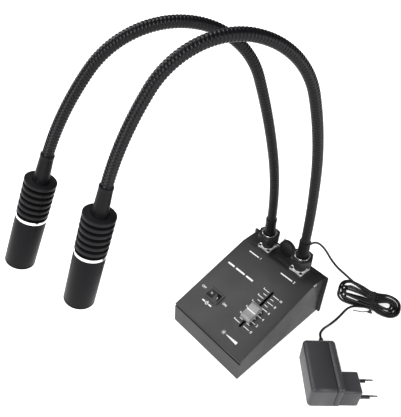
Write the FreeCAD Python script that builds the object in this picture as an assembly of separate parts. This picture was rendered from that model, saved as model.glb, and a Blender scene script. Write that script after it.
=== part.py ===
import FreeCAD
import Part
import math
import os

# Twin gooseneck LED spot light. Millimetres, +Z up, the front edge of the box towards -Y.
# The origin is the centre of the rest face under the box.

# Control box
box_width = 108.0
box_depth = 144.0
sheet = 1.5
pad_thickness = 1.5
pad_inset = 5.0
pad_corner = 6.0
front_height = 30.8
front_lean = 1.8
shelf_height = 62.6
shelf_depth = 28.1
bend_radius = 1.6
front_lip = 1.8
front_seam = 3.0
seam = 0.15
overrun = 2.0

# Rear plate and its screws
plate_thickness = 1.6
plate_side = 4.0
plate_top = 0.5
flange_height = 10.0
flange_inset = 9.0
screw_head_radius = 2.8
screw_head_height = 1.9
screw_shank_radius = 1.4
screw_length = 6.0
screw_drive_radius = 1.1
screw_drive_depth = 1.0
screw_hole_play = 0.2
screw_edge = 15.0
fit_play = 0.05

# Ballast and driver board
ballast_size = (66.0, 76.0, 12.0)
ballast_y = 4.0
ballast_edge = 1.0
board_size = (86.0, 62.0, 1.6)
board_y = 8.0
spacer_height = 15.0
spacer_radius = 2.6
spacer_edge = 4.0
inductor_radius = 6.5
inductor_height = 8.0
capacitor_radius = 5.0
capacitor_height = 11.0
chip_size = (14.0, 10.0, 3.0)
terminal_size = (20.0, 8.0, 9.0)

# Controls on the sloped panel, placed from its front edge
column_x = 24.5
slot_centre = 58.3
slot_length = 58.0
slot_width = 3.0
fader_travel = 50.0
fader_setting = 17.0
fader_body_size = (9.0, 76.0, 8.5)
fader_wall = 1.2
lever_size = (1.4, 5.0)
lever_foot = (5.4, 7.0, 3.2)
lever_rise = 6.5
slide_play = 0.3
knob_size = (12.4, 23.0, 9.0)
knob_float = 0.6
knob_dip = 1.5
knob_shoulder = 3.0
knob_edge = 0.8
index_width = 1.3
index_depth = 0.35

switch_centre = 37.8
bezel_size = (21.0, 15.0, 2.0)
bezel_corner = 1.2
bezel_edge = 0.6
switch_body_size = (19.0, 12.8, 15.0)
well_half = (8.9, 5.3)
well_depth = 8.5
rocker_half = (7.6, 5.0)
rocker_pivot_depth = 2.0
rocker_rise = 4.4
rocker_valley = 3.2
rocker_drop = 2.6
rocker_swing = 20.0
trunnion_radius = 1.2
trunnion_length = 0.8
blade_size = (0.8, 4.8, 7.0)
blade_pitch = 7.0

# Panel connectors on the shelf, heights counted from the shelf
socket_x = 25.5
socket_setback = 14.0
socket_flange = 18.0
flange_thickness = 2.5
flange_corner = 1.6
socket_barrel_radius = 7.4
socket_barrel_top = 15.8
socket_bore_radius = 6.2
socket_tail_radius = 7.0
socket_tail = 12.0
socket_screw_offset = 6.9
socket_screw_radius = 1.2
socket_screw_head = 1.95
socket_screw_length = 6.0
contact_radius = 0.6
contact_ring = 3.2
contact_length = 9.8
contact_play = 0.25
contact_count = 4

# Plug, coupling nut and cable boot, heights counted from the shelf
plug_spigot_radius = 5.9
plug_spigot_start = 9.0
plug_collar_radius = 10.2
plug_collar = 2.0
plug_shell_radius = 9.2
plug_rim_radius = 8.0
plug_top = 24.7
plug_floor = 4.0
plug_edge = 0.4
plug_wire_radius = 1.5
nut_flats = 24.6
nut_bottom = 13.8
nut_top = 22.8
nut_chamfer = 1.6
nut_play = 0.3
running_play = 0.06
chamber_ledge = 0.5
boot_foot_radius = 6.75
boot_top_radius = 6.3
boot_top = 46.6
boot_round = 0.8

# Goosenecks: five sections each, turned in the plane that the arm leans over in
section_count = 5
section_length = 94.0
right_lean_direction = 251.0
left_lean_direction = 246.1
right_turn_degrees = (5.7, 12.9, 55.0, 70.4, 17.6)
left_turn_degrees = (11.9, 6.9, 60.8, 59.7, 18.0)
crest_radius = 5.45
root_radius = 4.75
ribs_per_section = 11
rib_flank = 1.5
collar_length = 2.0
joint_gap = 1.3
neck_bore_radius = 3.4
neck_spigot_radius = 4.8
neck_spigot = 24.0
neck_plug = 3.5
ball_radius = 3.1
ball_neck_radius = 2.3
wire_radius = 1.2
bore_steps = 6

# Lamp heads, lengths counted from the top of the fins
head_boot_length = 20.0
head_boot_foot = 6.9
head_boot_tip = 6.35
fin_radius = 14.9
fin_count = 6
fin_pitch = 7.04
fin_thickness = 3.6
fin_edge = 0.5
core_radius = 9.8
recess_radius = 7.6
recess_depth = 4.0
trim_length = 3.3
trim_radius = 14.9
barrel_radius = 14.8
barrel_wall = 1.5
barrel_length = 58.1
barrel_edge = 0.8
barrel_grip = 7.0
lip_width = 1.3
lip_length = 1.6
lens_edge = 2.4
lens_crown = 4.2
led_board_radius = 9.5
led_board_thickness = 1.6
led_dome_radius = 2.7
led_base_radius = 4.0
led_base_height = 1.0

# Spare connector cap and its bead chain
cap_radius = 10.8
cap_length = 5.6
cap_wall = 1.3
cap_x = -0.4
cap_setback = 7.4
cap_edge = 0.6
bead_radius = 1.2
link_radius = 0.4
eyelet_radius = 2.2
eyelet_thickness = 0.5
bead_count = 6
chain_slack = 0.4
chain_lift = 0.06

# Power inlet and the plug in it
jack_x = -4.5
jack_z = 40.0
jack_barrel_radius = 3.9
jack_barrel = 6.5
jack_body_size = (11.0, 12.0, 10.0)
jack_bore_radius = 2.85
jack_nut_radius = 5.6
jack_nut_height = 2.0
plug_pin_radius = 2.75
plug_pin = 9.5
grip_radius = 5.0
grip_length = 21.0
grip_edge = 1.0
plug_relief = 12.0

# Cord
cord_diameter = 3.0
lead_points = [
    (-4.5, 123.0, 41.5), (-2.0, 137.0, 36.5), (6.5, 146.0, 23.5), (17.5, 149.0, 9.0),
    (29.5, 148.6, 3.4), (42.5, 147.6, 1.9), (55.0, 145.6, 1.75),
]
tail_points = [
    (79.0, 99.5, 3.4), (79.5, 88.0, 1.8), (79.8, 74.0, 2.2), (80.0, 60.0, 6.2), (80.8, 47.5, 13.2),
]
hank_approach = 2.5

# Hank of the cord: a lengthwise pile of loops drawn in at the tie
hank_x = 94.3
hank_y = 134.2
hank_heading_degrees = 23.0
hank_left = 23.0
hank_right = 17.0
hank_lanes = 14
lane_step = 1.95
inner_lane = 5.0
climb_lane = 6
waist_draw = 4.2
layer_rise = 3.5
tie_width = 2.6
tie_thickness = 0.5
tie_play = 0.15
tie_tail_radius = 0.6
tie_knot_radius = 1.5
tie_bend = (9.0, 3.0)
tie_end = (20.0, 5.0)

# Mains adapter, lying on its side
adapter_x = 80.4
adapter_y = 2.9
adapter_heading_degrees = -42.5
case_length = 62.0
case_depth = 36.5
case_height = 35.0
case_edge = 4.5
cover_depth = 9.0
cover_seam = 0.25
cover_groove = 0.5
block_length = 25.0
block_reach = 17.0
block_height = 28.0
block_edge = 2.0
pin_pitch = 18.2
pin_length = 19.0
pin_radius = 2.0
pin_sleeve = 10.0
pin_root = 4.0
pin_tip = 0.9
relief_offset = 25.5
relief_length = 12.0
relief_foot = 3.3
relief_tip = 2.3
relief_ring_count = 3

# Shortest step that a path's bend is worked out for
straight_limit = 0.004

# Worked out from the sizes above
box_front = -box_depth / 2
box_back = box_depth / 2
socket_y = box_back - socket_setback
cap_y = box_back - cap_setback
floor_z = pad_thickness
front_top_y = box_front + front_lean
front_top_z = floor_z + front_height
panel_run = box_depth - shelf_depth
kink_y = box_front + panel_run
shelf_z = floor_z + shelf_height
plate_front = box_back - plate_thickness
half_width = box_width / 2
panel_angle = math.degrees(math.atan2(shelf_z - front_top_z, kink_y - front_top_y))
fader_low = slot_centre - fader_travel / 2
knob_place = fader_low + fader_setting
cord_radius = cord_diameter / 2
head_length = fin_count * fin_pitch + trim_length + barrel_length
neck_start = shelf_z + boot_top + joint_gap
half_share = 0.5
slot_end_share = 0.49
arc_share = 0.45


def vec(x, y, z):
    return FreeCAD.Vector(x, y, z)


up = vec(0, 0, 1)


def block(x0, x1, y0, y1, z0, z1):
    return Part.makeBox(x1 - x0, y1 - y0, z1 - z0, vec(x0, y0, z0))


def centred(size, x, y, z):
    return block(x - size[0] / 2, x + size[0] / 2, y - size[1] / 2, y + size[1] / 2, z, z + size[2])


def rod(radius, length, base, axis=up):
    return Part.makeCylinder(radius, length, base, axis)


def ring(outer, inner, length, base, axis=up):
    longer = rod(inner, length + 2 * overrun, base - axis * overrun, axis)
    return rod(outer, length, base, axis).cut(longer)


def join(shapes):
    whole = shapes[0]
    for shape in shapes[1:]:
        whole = whole.fuse(shape)
    return whole.removeSplitter()


def cut_all(shape, tools):
    for tool in tools:
        shape = shape.cut(tool)
    return shape


def turned(points):
    """Solid of revolution about Z from (radius, height) points."""
    wire = Part.makePolygon([vec(r, 0, z) for r, z in points] + [vec(points[0][0], 0, points[0][1])])
    return Part.Face(wire).revolve(vec(0, 0, 0), up, 360)


def side_prism(points, x0, x1):
    """Prism along X of a closed outline given as (y, z) points."""
    wire = Part.makePolygon([vec(x0, y, z) for y, z in points] + [vec(x0, points[0][0], points[0][1])])
    return Part.Face(wire).extrude(vec(x1 - x0, 0, 0))


def round_plate(width, depth, height, radius, x=0, y=0, z=0):
    plate = block(x - width / 2, x + width / 2, y - depth / 2, y + depth / 2, z, z + height)
    upright = [e for e in plate.Edges if abs(e.tangentAt(e.FirstParameter).z) > half_share]
    return plate.makeFillet(radius, upright)


def frame_of(origin, x_axis, z_axis):
    """Placement whose local X and Z run along the two given unit vectors."""
    y_axis = z_axis.cross(x_axis)
    matrix = FreeCAD.Matrix(
        x_axis.x, y_axis.x, z_axis.x, origin.x,
        x_axis.y, y_axis.y, z_axis.y, origin.y,
        x_axis.z, y_axis.z, z_axis.z, origin.z,
        0, 0, 0, 1)
    return FreeCAD.Placement(matrix)


def placed(shape, placement):
    moved = shape.copy()
    moved.Placement = placement.multiply(moved.Placement)
    return moved


def on_panel(shape):
    """Moves a shape drawn flat, Y up the slope and Z out of the panel, onto the sloped panel."""
    slope = FreeCAD.Rotation(vec(1, 0, 0), panel_angle)
    return placed(shape, FreeCAD.Placement(vec(0, front_top_y, front_top_z), slope))


def export(shape, name):
    solids = shape.Solids
    whole = solids[0] if len(solids) == 1 else Part.makeCompound(solids)
    if not whole.isValid():
        print("not valid:", name)
    whole.exportStep("parts/" + name + ".step")
    print(name, "solids", len(solids), "faces", len(whole.Faces), "volume", round(whole.Volume, 1))


# Housing

def front_line(z):
    """Y of the leaning front face at a height."""
    return box_front + front_lean * (z - floor_z) / front_height


def make_cover():
    lip_z = front_top_z - front_lip
    back_edge = sheet + seam
    outline = [
        (front_line(floor_z) + back_edge, floor_z), (front_line(lip_z) + back_edge, lip_z),
        (front_line(lip_z), lip_z), (front_top_y, front_top_z), (kink_y, shelf_z),
        (plate_front, shelf_z), (plate_front, floor_z)]
    shell = side_prism(outline, -half_width, half_width)
    bends = []
    for edge in shell.Edges:
        middle = edge.valueAt((edge.FirstParameter + edge.LastParameter) / 2)
        along_side = abs(abs(middle.x) - half_width) < seam and middle.y > front_top_y + overrun
        if along_side and middle.z > front_top_z + overrun:
            bends.append(edge)
        if abs(middle.x) < seam and abs(middle.y - front_top_y) < seam and abs(middle.z - front_top_z) < seam:
            bends.append(edge)
    shell = shell.makeFillet(bend_radius, bends)
    slope = math.radians(panel_angle)
    drop = sheet / math.cos(slope)
    inner_lip = front_line(lip_z) + sheet
    panel_in = front_top_z - drop + (inner_lip - front_top_y) * math.tan(slope)
    kink_in = kink_y + sheet * math.tan(slope / 2)
    inside = [
        (box_front - overrun, floor_z - overrun), (box_front - overrun, lip_z), (inner_lip, lip_z),
        (inner_lip, panel_in), (kink_in, shelf_z - sheet), (plate_front - sheet, shelf_z - sheet),
        (plate_front - sheet, shelf_z - sheet - flange_height),
        (plate_front + overrun, shelf_z - sheet - flange_height), (plate_front + overrun, floor_z - overrun)]
    shell = shell.cut(side_prism(inside, -half_width + sheet, half_width - sheet))
    tools = [on_panel(round_plate(slot_width, slot_length, 2 * overrun + sheet, slot_width * slot_end_share,
                                  column_x, slot_centre, -sheet - overrun))]
    cutout = (switch_body_size[0] + 2 * seam, switch_body_size[1] + 2 * seam, 2 * overrun + sheet)
    tools.append(on_panel(centred(cutout, -column_x, switch_centre, -sheet - overrun)))
    for side in (-1, 1):
        hole_base = vec(side * socket_x, socket_y, shelf_z - sheet - overrun)
        tools.append(rod(socket_tail_radius + screw_hole_play, sheet + 2 * overrun, hole_base))
        for x, y in socket_screw_places(side):
            tools.append(rod(socket_screw_radius + fit_play, sheet + 2 * overrun,
                             vec(x, y, shelf_z - sheet - overrun)))
        tools.append(rod(screw_shank_radius + fit_play, 2 * overrun + sheet,
                         vec(side * (half_width - screw_edge), plate_front + overrun, top_screw_z()),
                         vec(0, -1, 0)))
    return cut_all(shell, tools)


def socket_screw_places(side):
    return [(side * socket_x + i * socket_screw_offset, socket_y + j * socket_screw_offset)
            for i in (-1, 1) for j in (-1, 1)]


def top_screw_z():
    return shelf_z - sheet - flange_height / 2


def low_screw_z():
    return floor_z + sheet + flange_height / 2


def make_chassis():
    inner = half_width - sheet - seam
    tray_back = plate_front
    floor_front = front_line(floor_z)
    floor = block(-inner, inner, floor_front + sheet, tray_back, floor_z, floor_z + sheet)
    top = front_top_z - front_lip - front_seam
    face = side_prism([(front_line(floor_z), floor_z), (front_line(floor_z) + sheet, floor_z),
                       (front_line(top) + sheet, top), (front_line(top), top)], -half_width, half_width)
    rear = block(-inner, inner, tray_back - sheet, tray_back, floor_z, floor_z + sheet + flange_height)
    sides = []
    for side in (-1, 1):
        outer = side * inner
        near = side * (inner - sheet)
        start = floor_front + sheet + flange_inset
        sides.append(block(min(outer, near), max(outer, near), start, tray_back,
                           floor_z, floor_z + sheet + flange_height))
    tray = join([floor, face, rear] + sides)
    tools = []
    for side in (-1, 1):
        tools.append(rod(screw_shank_radius + fit_play, 2 * overrun + sheet,
                         vec(side * (half_width - screw_edge), tray_back + overrun, low_screw_z()),
                         vec(0, -1, 0)))
    return cut_all(tray, tools)


def make_rear_plate():
    outer = half_width + plate_side
    plate = block(-outer, outer, plate_front, box_back, floor_z, shelf_z + plate_top)
    plate = plate.makeFillet(plate_side / 2, [e for e in plate.Edges if abs(e.tangentAt(0).y) > half_share])
    tools = [rod(jack_barrel_radius + fit_play, plate_thickness + 2 * overrun,
                 vec(jack_x, plate_front - overrun, jack_z), vec(0, 1, 0))]
    for side in (-1, 1):
        for z in (top_screw_z(), low_screw_z()):
            tools.append(rod(screw_shank_radius + screw_hole_play, plate_thickness + 2 * overrun,
                             vec(side * (half_width - screw_edge), plate_front - overrun, z), vec(0, 1, 0)))
    return cut_all(plate, tools)


def make_pad():
    return round_plate(box_width - 2 * pad_inset, box_depth - 2 * pad_inset, pad_thickness, pad_corner)


def make_ballast():
    slab = centred(ballast_size, 0, ballast_y, floor_z + sheet)
    return slab.makeChamfer(ballast_edge, [e for e in slab.Edges if abs(e.tangentAt(0).z) > half_share])


def spacer_places():
    dx = board_size[0] / 2 - spacer_edge
    dy = board_size[1] / 2 - spacer_edge
    return [(i * dx, board_y + j * dy) for i in (-1, 1) for j in (-1, 1)]


def make_spacers():
    pillars = [ring(spacer_radius, screw_shank_radius, spacer_height, vec(x, y, floor_z + sheet))
               for x, y in spacer_places()]
    return Part.makeCompound(pillars)


def make_board():
    z = floor_z + sheet + spacer_height
    top = z + board_size[2]
    board = centred(board_size, 0, board_y, z)
    for x, y in spacer_places():
        board = board.cut(rod(screw_shank_radius, board_size[2] + 2 * overrun, vec(x, y, z - overrun)))
    quarter_x = board_size[0] / 4
    quarter_y = board_size[1] / 4
    bulk = [board, rod(inductor_radius, inductor_height, vec(-quarter_x, board_y - quarter_y, top)),
            rod(capacitor_radius, capacitor_height, vec(quarter_x, board_y + quarter_y, top)),
            rod(capacitor_radius, capacitor_height, vec(0, board_y + quarter_y, top)),
            centred(chip_size, 0, board_y - quarter_y, top),
            centred(terminal_size, -quarter_x, board_y + quarter_y, top)]
    return join(bulk)


def pan_screw(place):
    """Pan-head screw with its head outwards along +Z and the shank going down from 0."""
    head = rod(screw_head_radius, screw_head_height, vec(0, 0, 0))
    head = head.makeFillet(screw_head_height / 2, [max(head.Edges, key=lambda e: e.BoundBox.ZMin)])
    shank = rod(screw_shank_radius, screw_length, vec(0, 0, -screw_length))
    drive = rod(screw_drive_radius, screw_drive_depth + overrun,
                vec(0, 0, screw_head_height - screw_drive_depth))
    return placed(join([head, shank]).cut(drive), place)


def make_case_screws():
    screws = []
    for side in (-1, 1):
        for z in (top_screw_z(), low_screw_z()):
            screws.append(pan_screw(frame_of(vec(side * (half_width - screw_edge), box_back, z),
                                             vec(1, 0, 0), vec(0, 1, 0))))
    return Part.makeCompound(screws)


# Slide control and switch, drawn on the flat panel and then tilted with it

def make_fader_body():
    top = -sheet
    base = top - fader_body_size[2]
    body = centred(fader_body_size, column_x, slot_centre, base)
    track_half = (slot_length + lever_foot[1]) / 2 + slide_play
    inner = fader_body_size[0] / 2 - fader_wall
    hollow = block(column_x - inner, column_x + inner, slot_centre - track_half, slot_centre + track_half,
                   base + fader_wall, top - fader_wall)
    gate = round_plate(slot_width, slot_length, fader_wall + 2 * overrun, slot_width * slot_end_share,
                       column_x, slot_centre, top - fader_wall - overrun)
    return on_panel(cut_all(body, [hollow, gate]))


def make_lever():
    base = -sheet - fader_body_size[2] + fader_wall + slide_play
    foot = centred(lever_foot, column_x, knob_place, base)
    blade = centred((lever_size[0], lever_size[1], lever_rise - base), column_x, knob_place, base)
    return on_panel(join([foot, blade]))


def make_knob():
    width, length, height = knob_size
    low = knob_place - length / 2
    high = knob_place + length / 2
    shoulder = height - knob_shoulder
    dip = height - knob_dip
    start = vec(column_x - width / 2, 0, 0)

    def at(s, n):
        return start + vec(0, s, n)

    near = low + knob_shoulder
    far = high - knob_shoulder
    lines = [
        Part.makeLine(at(low, knob_float), at(low, shoulder)),
        Part.makeLine(at(low, shoulder), at(near, height)),
        Part.Arc(at(near, height), at((near + knob_place) / 2, dip + knob_dip / 4),
                 at(knob_place, dip)).toShape(),
        Part.Arc(at(knob_place, dip), at((far + knob_place) / 2, dip + knob_dip / 4),
                 at(far, height)).toShape(),
        Part.makeLine(at(far, height), at(high, shoulder)),
        Part.makeLine(at(high, shoulder), at(high, knob_float)),
        Part.makeLine(at(high, knob_float), at(low, knob_float))]
    cap = Part.Face(Part.Wire(lines)).extrude(vec(width, 0, 0))
    groove = block(column_x - width, column_x + width,
                   knob_place - index_width / 2, knob_place + index_width / 2,
                   dip - index_depth, height)
    socket = centred((lever_size[0] + 2 * fit_play, lever_size[1] + 2 * fit_play, lever_rise + overrun),
                     column_x, knob_place, -overrun)
    return on_panel(cut_all(cap, [groove, socket]))


def make_switch_body():
    frame = round_plate(bezel_size[0], bezel_size[1], bezel_size[2], bezel_corner,
                        -column_x, switch_centre, 0)
    frame = frame.makeChamfer(bezel_edge, [e for e in frame.Edges if e.BoundBox.ZMin > bezel_size[2] / 2])
    depth = switch_body_size[2]
    body = centred(switch_body_size, -column_x, switch_centre, -depth)
    whole = join([frame, body])
    well = block(-column_x - well_half[0], -column_x + well_half[0], switch_centre - well_half[1],
                 switch_centre + well_half[1], -well_depth, bezel_size[2] + overrun)
    pivot_reach = rocker_half[1] + trunnion_length + fit_play
    pivot = rod(trunnion_radius + fit_play, 2 * pivot_reach,
                vec(-column_x, switch_centre - pivot_reach, -rocker_pivot_depth), vec(0, 1, 0))
    blades = [centred(blade_size, -column_x + i * blade_pitch, switch_centre, -depth - blade_size[2])
              for i in (-1, 0, 1)]
    return on_panel(join([cut_all(whole, [well, pivot])] + blades))


def make_rocker():
    reach, half_thick = rocker_half
    outline = [(-reach, rocker_rise), (0, rocker_valley), (reach, rocker_rise), (reach, -rocker_drop),
               (-reach, -rocker_drop)]
    wire = Part.makePolygon([vec(x, -half_thick, z) for x, z in outline]
                            + [vec(-reach, -half_thick, rocker_rise)])
    paddle = Part.Face(wire).extrude(vec(0, 2 * half_thick, 0))
    pin_reach = half_thick + trunnion_length
    paddle = join([paddle, rod(trunnion_radius, 2 * pin_reach, vec(0, -pin_reach, 0), vec(0, 1, 0))])
    tilt = FreeCAD.Rotation(vec(0, 1, 0), rocker_swing / 2)
    hinge = vec(-column_x, switch_centre, -rocker_pivot_depth)
    return on_panel(placed(paddle, FreeCAD.Placement(hinge, tilt)))


# Connectors

def contact_places(side):
    places = []
    for i in range(contact_count):
        turn = math.radians(45 + 360 * i / contact_count)
        places.append((side * socket_x + contact_ring * math.cos(turn),
                       socket_y + contact_ring * math.sin(turn)))
    return places


def make_socket(side):
    x = side * socket_x
    flange = round_plate(socket_flange, socket_flange, flange_thickness, flange_corner, x, socket_y, shelf_z)
    barrel = rod(socket_barrel_radius, socket_barrel_top - flange_thickness,
                 vec(x, socket_y, shelf_z + flange_thickness))
    tail = rod(socket_tail_radius, socket_tail, vec(x, socket_y, shelf_z - socket_tail))
    body = join([flange, barrel, tail])
    bore = rod(socket_bore_radius, socket_barrel_top + overrun, vec(x, socket_y, shelf_z))
    body = body.cut(bore)
    for px, py in socket_screw_places(side):
        body = body.cut(rod(socket_screw_radius + fit_play, flange_thickness + 2 * overrun,
                            vec(px, py, shelf_z - overrun)))
        body = body.cut(Part.makeCone(socket_screw_radius, socket_screw_head + fit_play,
                                      socket_screw_head - socket_screw_radius + fit_play,
                                      vec(px, py, shelf_z + flange_thickness
                                          - (socket_screw_head - socket_screw_radius + fit_play))))
    contacts = [rod(contact_radius, contact_length + overrun, vec(px, py, shelf_z - overrun))
                for px, py in contact_places(side)]
    return join([body] + contacts)


def make_socket_screws():
    screws = []
    for side in (-1, 1):
        for px, py in socket_screw_places(side):
            depth = socket_screw_head - socket_screw_radius
            top = shelf_z + flange_thickness
            head = Part.makeCone(socket_screw_radius, socket_screw_head, depth, vec(px, py, top - depth))
            shank = rod(socket_screw_radius, socket_screw_length - depth,
                        vec(px, py, top - socket_screw_length))
            screws.append(join([head, shank]))
    return Part.makeCompound(screws)


def make_plug(side):
    collar_z = socket_barrel_top
    profile = [
        (plug_wire_radius, plug_spigot_start), (plug_spigot_radius, plug_spigot_start),
        (plug_spigot_radius, collar_z), (plug_collar_radius, collar_z),
        (plug_collar_radius, collar_z + plug_collar), (plug_shell_radius, collar_z + plug_collar),
        (plug_shell_radius, plug_top), (plug_rim_radius, plug_top),
        (plug_rim_radius, collar_z + plug_floor), (plug_wire_radius, collar_z + plug_floor)]
    shell = turned(profile)
    shell = shell.makeFillet(plug_edge, [e for e in shell.Edges if e.BoundBox.ZMin > plug_top - fit_play])
    shell = placed(shell, FreeCAD.Placement(vec(side * socket_x, socket_y, shelf_z), FreeCAD.Rotation()))
    holes = [rod(contact_radius + contact_play, contact_length,
                 vec(px, py, shelf_z + plug_spigot_start - overrun))
             for px, py in contact_places(side)]
    return cut_all(shell, holes)


def make_nut(side):
    corner_radius = nut_flats / 2 / math.cos(math.radians(30))
    height = nut_top - nut_bottom
    corners = [vec(corner_radius * math.cos(math.radians(60 * i)),
                   corner_radius * math.sin(math.radians(60 * i)), 0)
               for i in range(7)]
    hexagon = Part.Face(Part.makePolygon(corners)).extrude(vec(0, 0, height))
    inset = nut_chamfer * half_share
    cone = turned([(0, 0), (corner_radius - nut_chamfer, 0), (corner_radius, inset),
                   (corner_radius, height - inset), (corner_radius - nut_chamfer, height), (0, height)])
    blank = hexagon.common(cone)
    chamber_top = socket_barrel_top + plug_collar + running_play - nut_bottom
    chamber_floor = socket_barrel_top - nut_play - nut_bottom
    bores = [rod(socket_barrel_radius + nut_play, height, vec(0, 0, -overrun)),
             rod(plug_collar_radius + nut_play, chamber_top - chamber_floor, vec(0, 0, chamber_floor)),
             rod(plug_shell_radius + running_play, height, vec(0, 0, chamber_floor + chamber_ledge))]
    nut = cut_all(blank, bores)
    foot = vec(side * socket_x, socket_y, shelf_z + nut_bottom)
    return placed(nut, FreeCAD.Placement(foot, FreeCAD.Rotation()))


def make_boot(side):
    foot = socket_barrel_top + plug_floor
    bore = neck_spigot_radius + running_play
    sleeve = turned([(bore, foot), (boot_foot_radius, foot), (boot_foot_radius, plug_top),
                     (boot_top_radius, boot_top), (bore, boot_top)])
    rim = [e for e in sleeve.Edges
           if e.BoundBox.ZMin > boot_top - fit_play and e.BoundBox.XMax > boot_top_radius - fit_play]
    sleeve = sleeve.makeFillet(boot_round, rim)
    return placed(sleeve, FreeCAD.Placement(vec(side * socket_x, socket_y, shelf_z), FreeCAD.Rotation()))


# Goosenecks

def arm_values(side):
    if side > 0:
        return right_lean_direction, right_turn_degrees
    return left_lean_direction, left_turn_degrees


def neck_station(side, distance):
    """Placement on the neck's centreline: local X is the arm's sideways axis, local Z runs along the neck."""
    heading, turns = arm_values(side)
    lean = vec(math.cos(math.radians(heading)), math.sin(math.radians(heading)), 0)
    sideways = up.cross(lean)
    reach = 0.0
    height = 0.0
    angle = 0.0
    left = distance
    for index in range(section_count):
        curve = math.radians(turns[index]) / section_length
        span = left if index == section_count - 1 else min(left, section_length)
        if index == section_count - 1 and left > section_length:
            span = section_length
        reach += (math.cos(angle) - math.cos(angle + curve * span)) / curve
        height += (math.sin(angle + curve * span) - math.sin(angle)) / curve
        angle += curve * span
        left -= span
        if left <= 0:
            break
    reach += math.sin(angle) * left
    height += math.cos(angle) * left
    along = lean * math.sin(angle) + up * math.cos(angle)
    centre = vec(side * socket_x, socket_y, neck_start) + lean * reach + up * height
    return frame_of(centre, sideways, along)


def neck_circle(side, distance, radius):
    circle = Part.makeCircle(radius, vec(0, 0, 0), up)
    return Part.Wire([placed(circle, neck_station(side, distance))])


def neck_loft(side, stations):
    """Ruled tube through circles given as (distance, radius) pairs."""
    return Part.makeLoft([neck_circle(side, d, r) for d, r in stations], True, True, False)


def make_neck(side, index):
    start = index * section_length + (0 if index == 0 else joint_gap)
    end = (index + 1) * section_length - joint_gap
    first = start + collar_length
    pitch = (end - collar_length - first) / ribs_per_section
    stations = [(start, crest_radius - fit_play)]
    for rib in range(ribs_per_section):
        low = first + rib * pitch
        stations += [(low, root_radius), (low + rib_flank, crest_radius),
                     (low + pitch - rib_flank, crest_radius)]
    stations += [(first + ribs_per_section * pitch, root_radius), (end, crest_radius - fit_play)]
    hose = neck_loft(side, stations)
    bore_end = end - neck_plug
    bore_start = start - overrun if index == 0 else start
    steps = [(bore_start + (bore_end - bore_start) * i / bore_steps, neck_bore_radius)
             for i in range(bore_steps + 1)]
    pivot = neck_station(side, end + joint_gap)
    ball = placed(Part.makeSphere(ball_radius), pivot)
    stalk = placed(rod(ball_neck_radius, joint_gap + neck_plug / 2,
                       vec(0, 0, -joint_gap - neck_plug / 2)), pivot)
    wire_way = placed(rod(wire_radius, joint_gap + neck_plug + ball_radius + 2 * overrun,
                          vec(0, 0, -joint_gap - neck_plug - overrun)), pivot)
    if index == 0:
        base = neck_station(side, start)
        tube = placed(rod(neck_spigot_radius, neck_spigot, vec(0, 0, -neck_spigot)), base)
        hose = hose.fuse(tube)
        way = placed(rod(neck_bore_radius, neck_spigot + overrun, vec(0, 0, -neck_spigot - overrun)), base)
        hose = hose.cut(way)
        steps[0] = (start, neck_bore_radius)
    hose = hose.cut(neck_loft(side, steps))
    return hose.fuse(stalk).fuse(ball).cut(wire_way)


# Lamp heads, drawn upright with their top at 0 and pointing down -Z, then set on the neck's end

def head_place(side):
    """Placement of the head's top: local Z runs on along the neck."""
    return neck_station(side, section_count * section_length + head_boot_length)


def on_head(shape, side):
    return placed(shape, head_place(side))


def make_head_boot(side):
    start = joint_gap - head_boot_length
    sleeve = turned([(neck_bore_radius, start), (head_boot_tip, start), (head_boot_foot, 0),
                     (head_boot_foot, recess_depth), (wire_radius, recess_depth), (wire_radius, 0),
                     (neck_bore_radius, 0)])
    rim = [e for e in sleeve.Edges
           if e.BoundBox.ZMax < start + fit_play and e.BoundBox.XMax > head_boot_tip - fit_play]
    return on_head(sleeve.makeFillet(boot_round, rim), side)


def make_heat_sink(side):
    spigot = barrel_radius - barrel_wall - fit_play
    finned = fin_count * fin_pitch
    foot = finned + trim_length + barrel_grip
    outline = [(wire_radius, recess_depth), (recess_radius, recess_depth), (recess_radius, 0)]
    for fin in range(fin_count):
        low = fin * fin_pitch
        high = low + fin_thickness
        outline += [(fin_radius - fin_edge, low), (fin_radius, low + fin_edge),
                    (fin_radius, high - fin_edge), (fin_radius - fin_edge, high)]
        outline += [(core_radius, high), (core_radius, low + fin_pitch)]
    outline += [(spigot, finned), (spigot, foot), (wire_radius, foot)]
    return on_head(turned(outline), side)


def make_trim(side):
    low = fin_count * fin_pitch
    inner = barrel_radius - barrel_wall
    band = turned([(inner, low), (trim_radius - fin_edge, low), (trim_radius, low + fin_edge),
                   (trim_radius, low + trim_length - fin_edge), (trim_radius - fin_edge, low + trim_length),
                   (inner, low + trim_length)])
    return on_head(band, side)


def make_barrel(side):
    top = fin_count * fin_pitch + trim_length
    inner = barrel_radius - barrel_wall
    tube = turned([(inner, top), (barrel_radius, top), (barrel_radius, head_length - barrel_edge),
                   (barrel_radius - barrel_edge, head_length), (inner - lip_width, head_length),
                   (inner - lip_width, head_length - lip_length), (inner, head_length - lip_length)])
    return on_head(tube, side)


def make_lens(side):
    rim = barrel_radius - barrel_wall - fit_play
    seat = head_length - lip_length
    flat = seat - lens_edge
    crown = flat - lens_crown
    radius = (rim * rim + lens_crown * lens_crown) / (2 * lens_crown)
    mid = rim / 2
    mid_z = crown + radius - math.sqrt(radius * radius - mid * mid)
    edges = [Part.Arc(vec(0, 0, crown), vec(mid, 0, mid_z), vec(rim, 0, flat)).toShape(),
             Part.makeLine(vec(rim, 0, flat), vec(rim, 0, seat)),
             Part.makeLine(vec(rim, 0, seat), vec(0, 0, seat)),
             Part.makeLine(vec(0, 0, seat), vec(0, 0, crown))]
    return on_head(Part.Face(Part.Wire(edges)).revolve(vec(0, 0, 0), up, 360), side)


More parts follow.
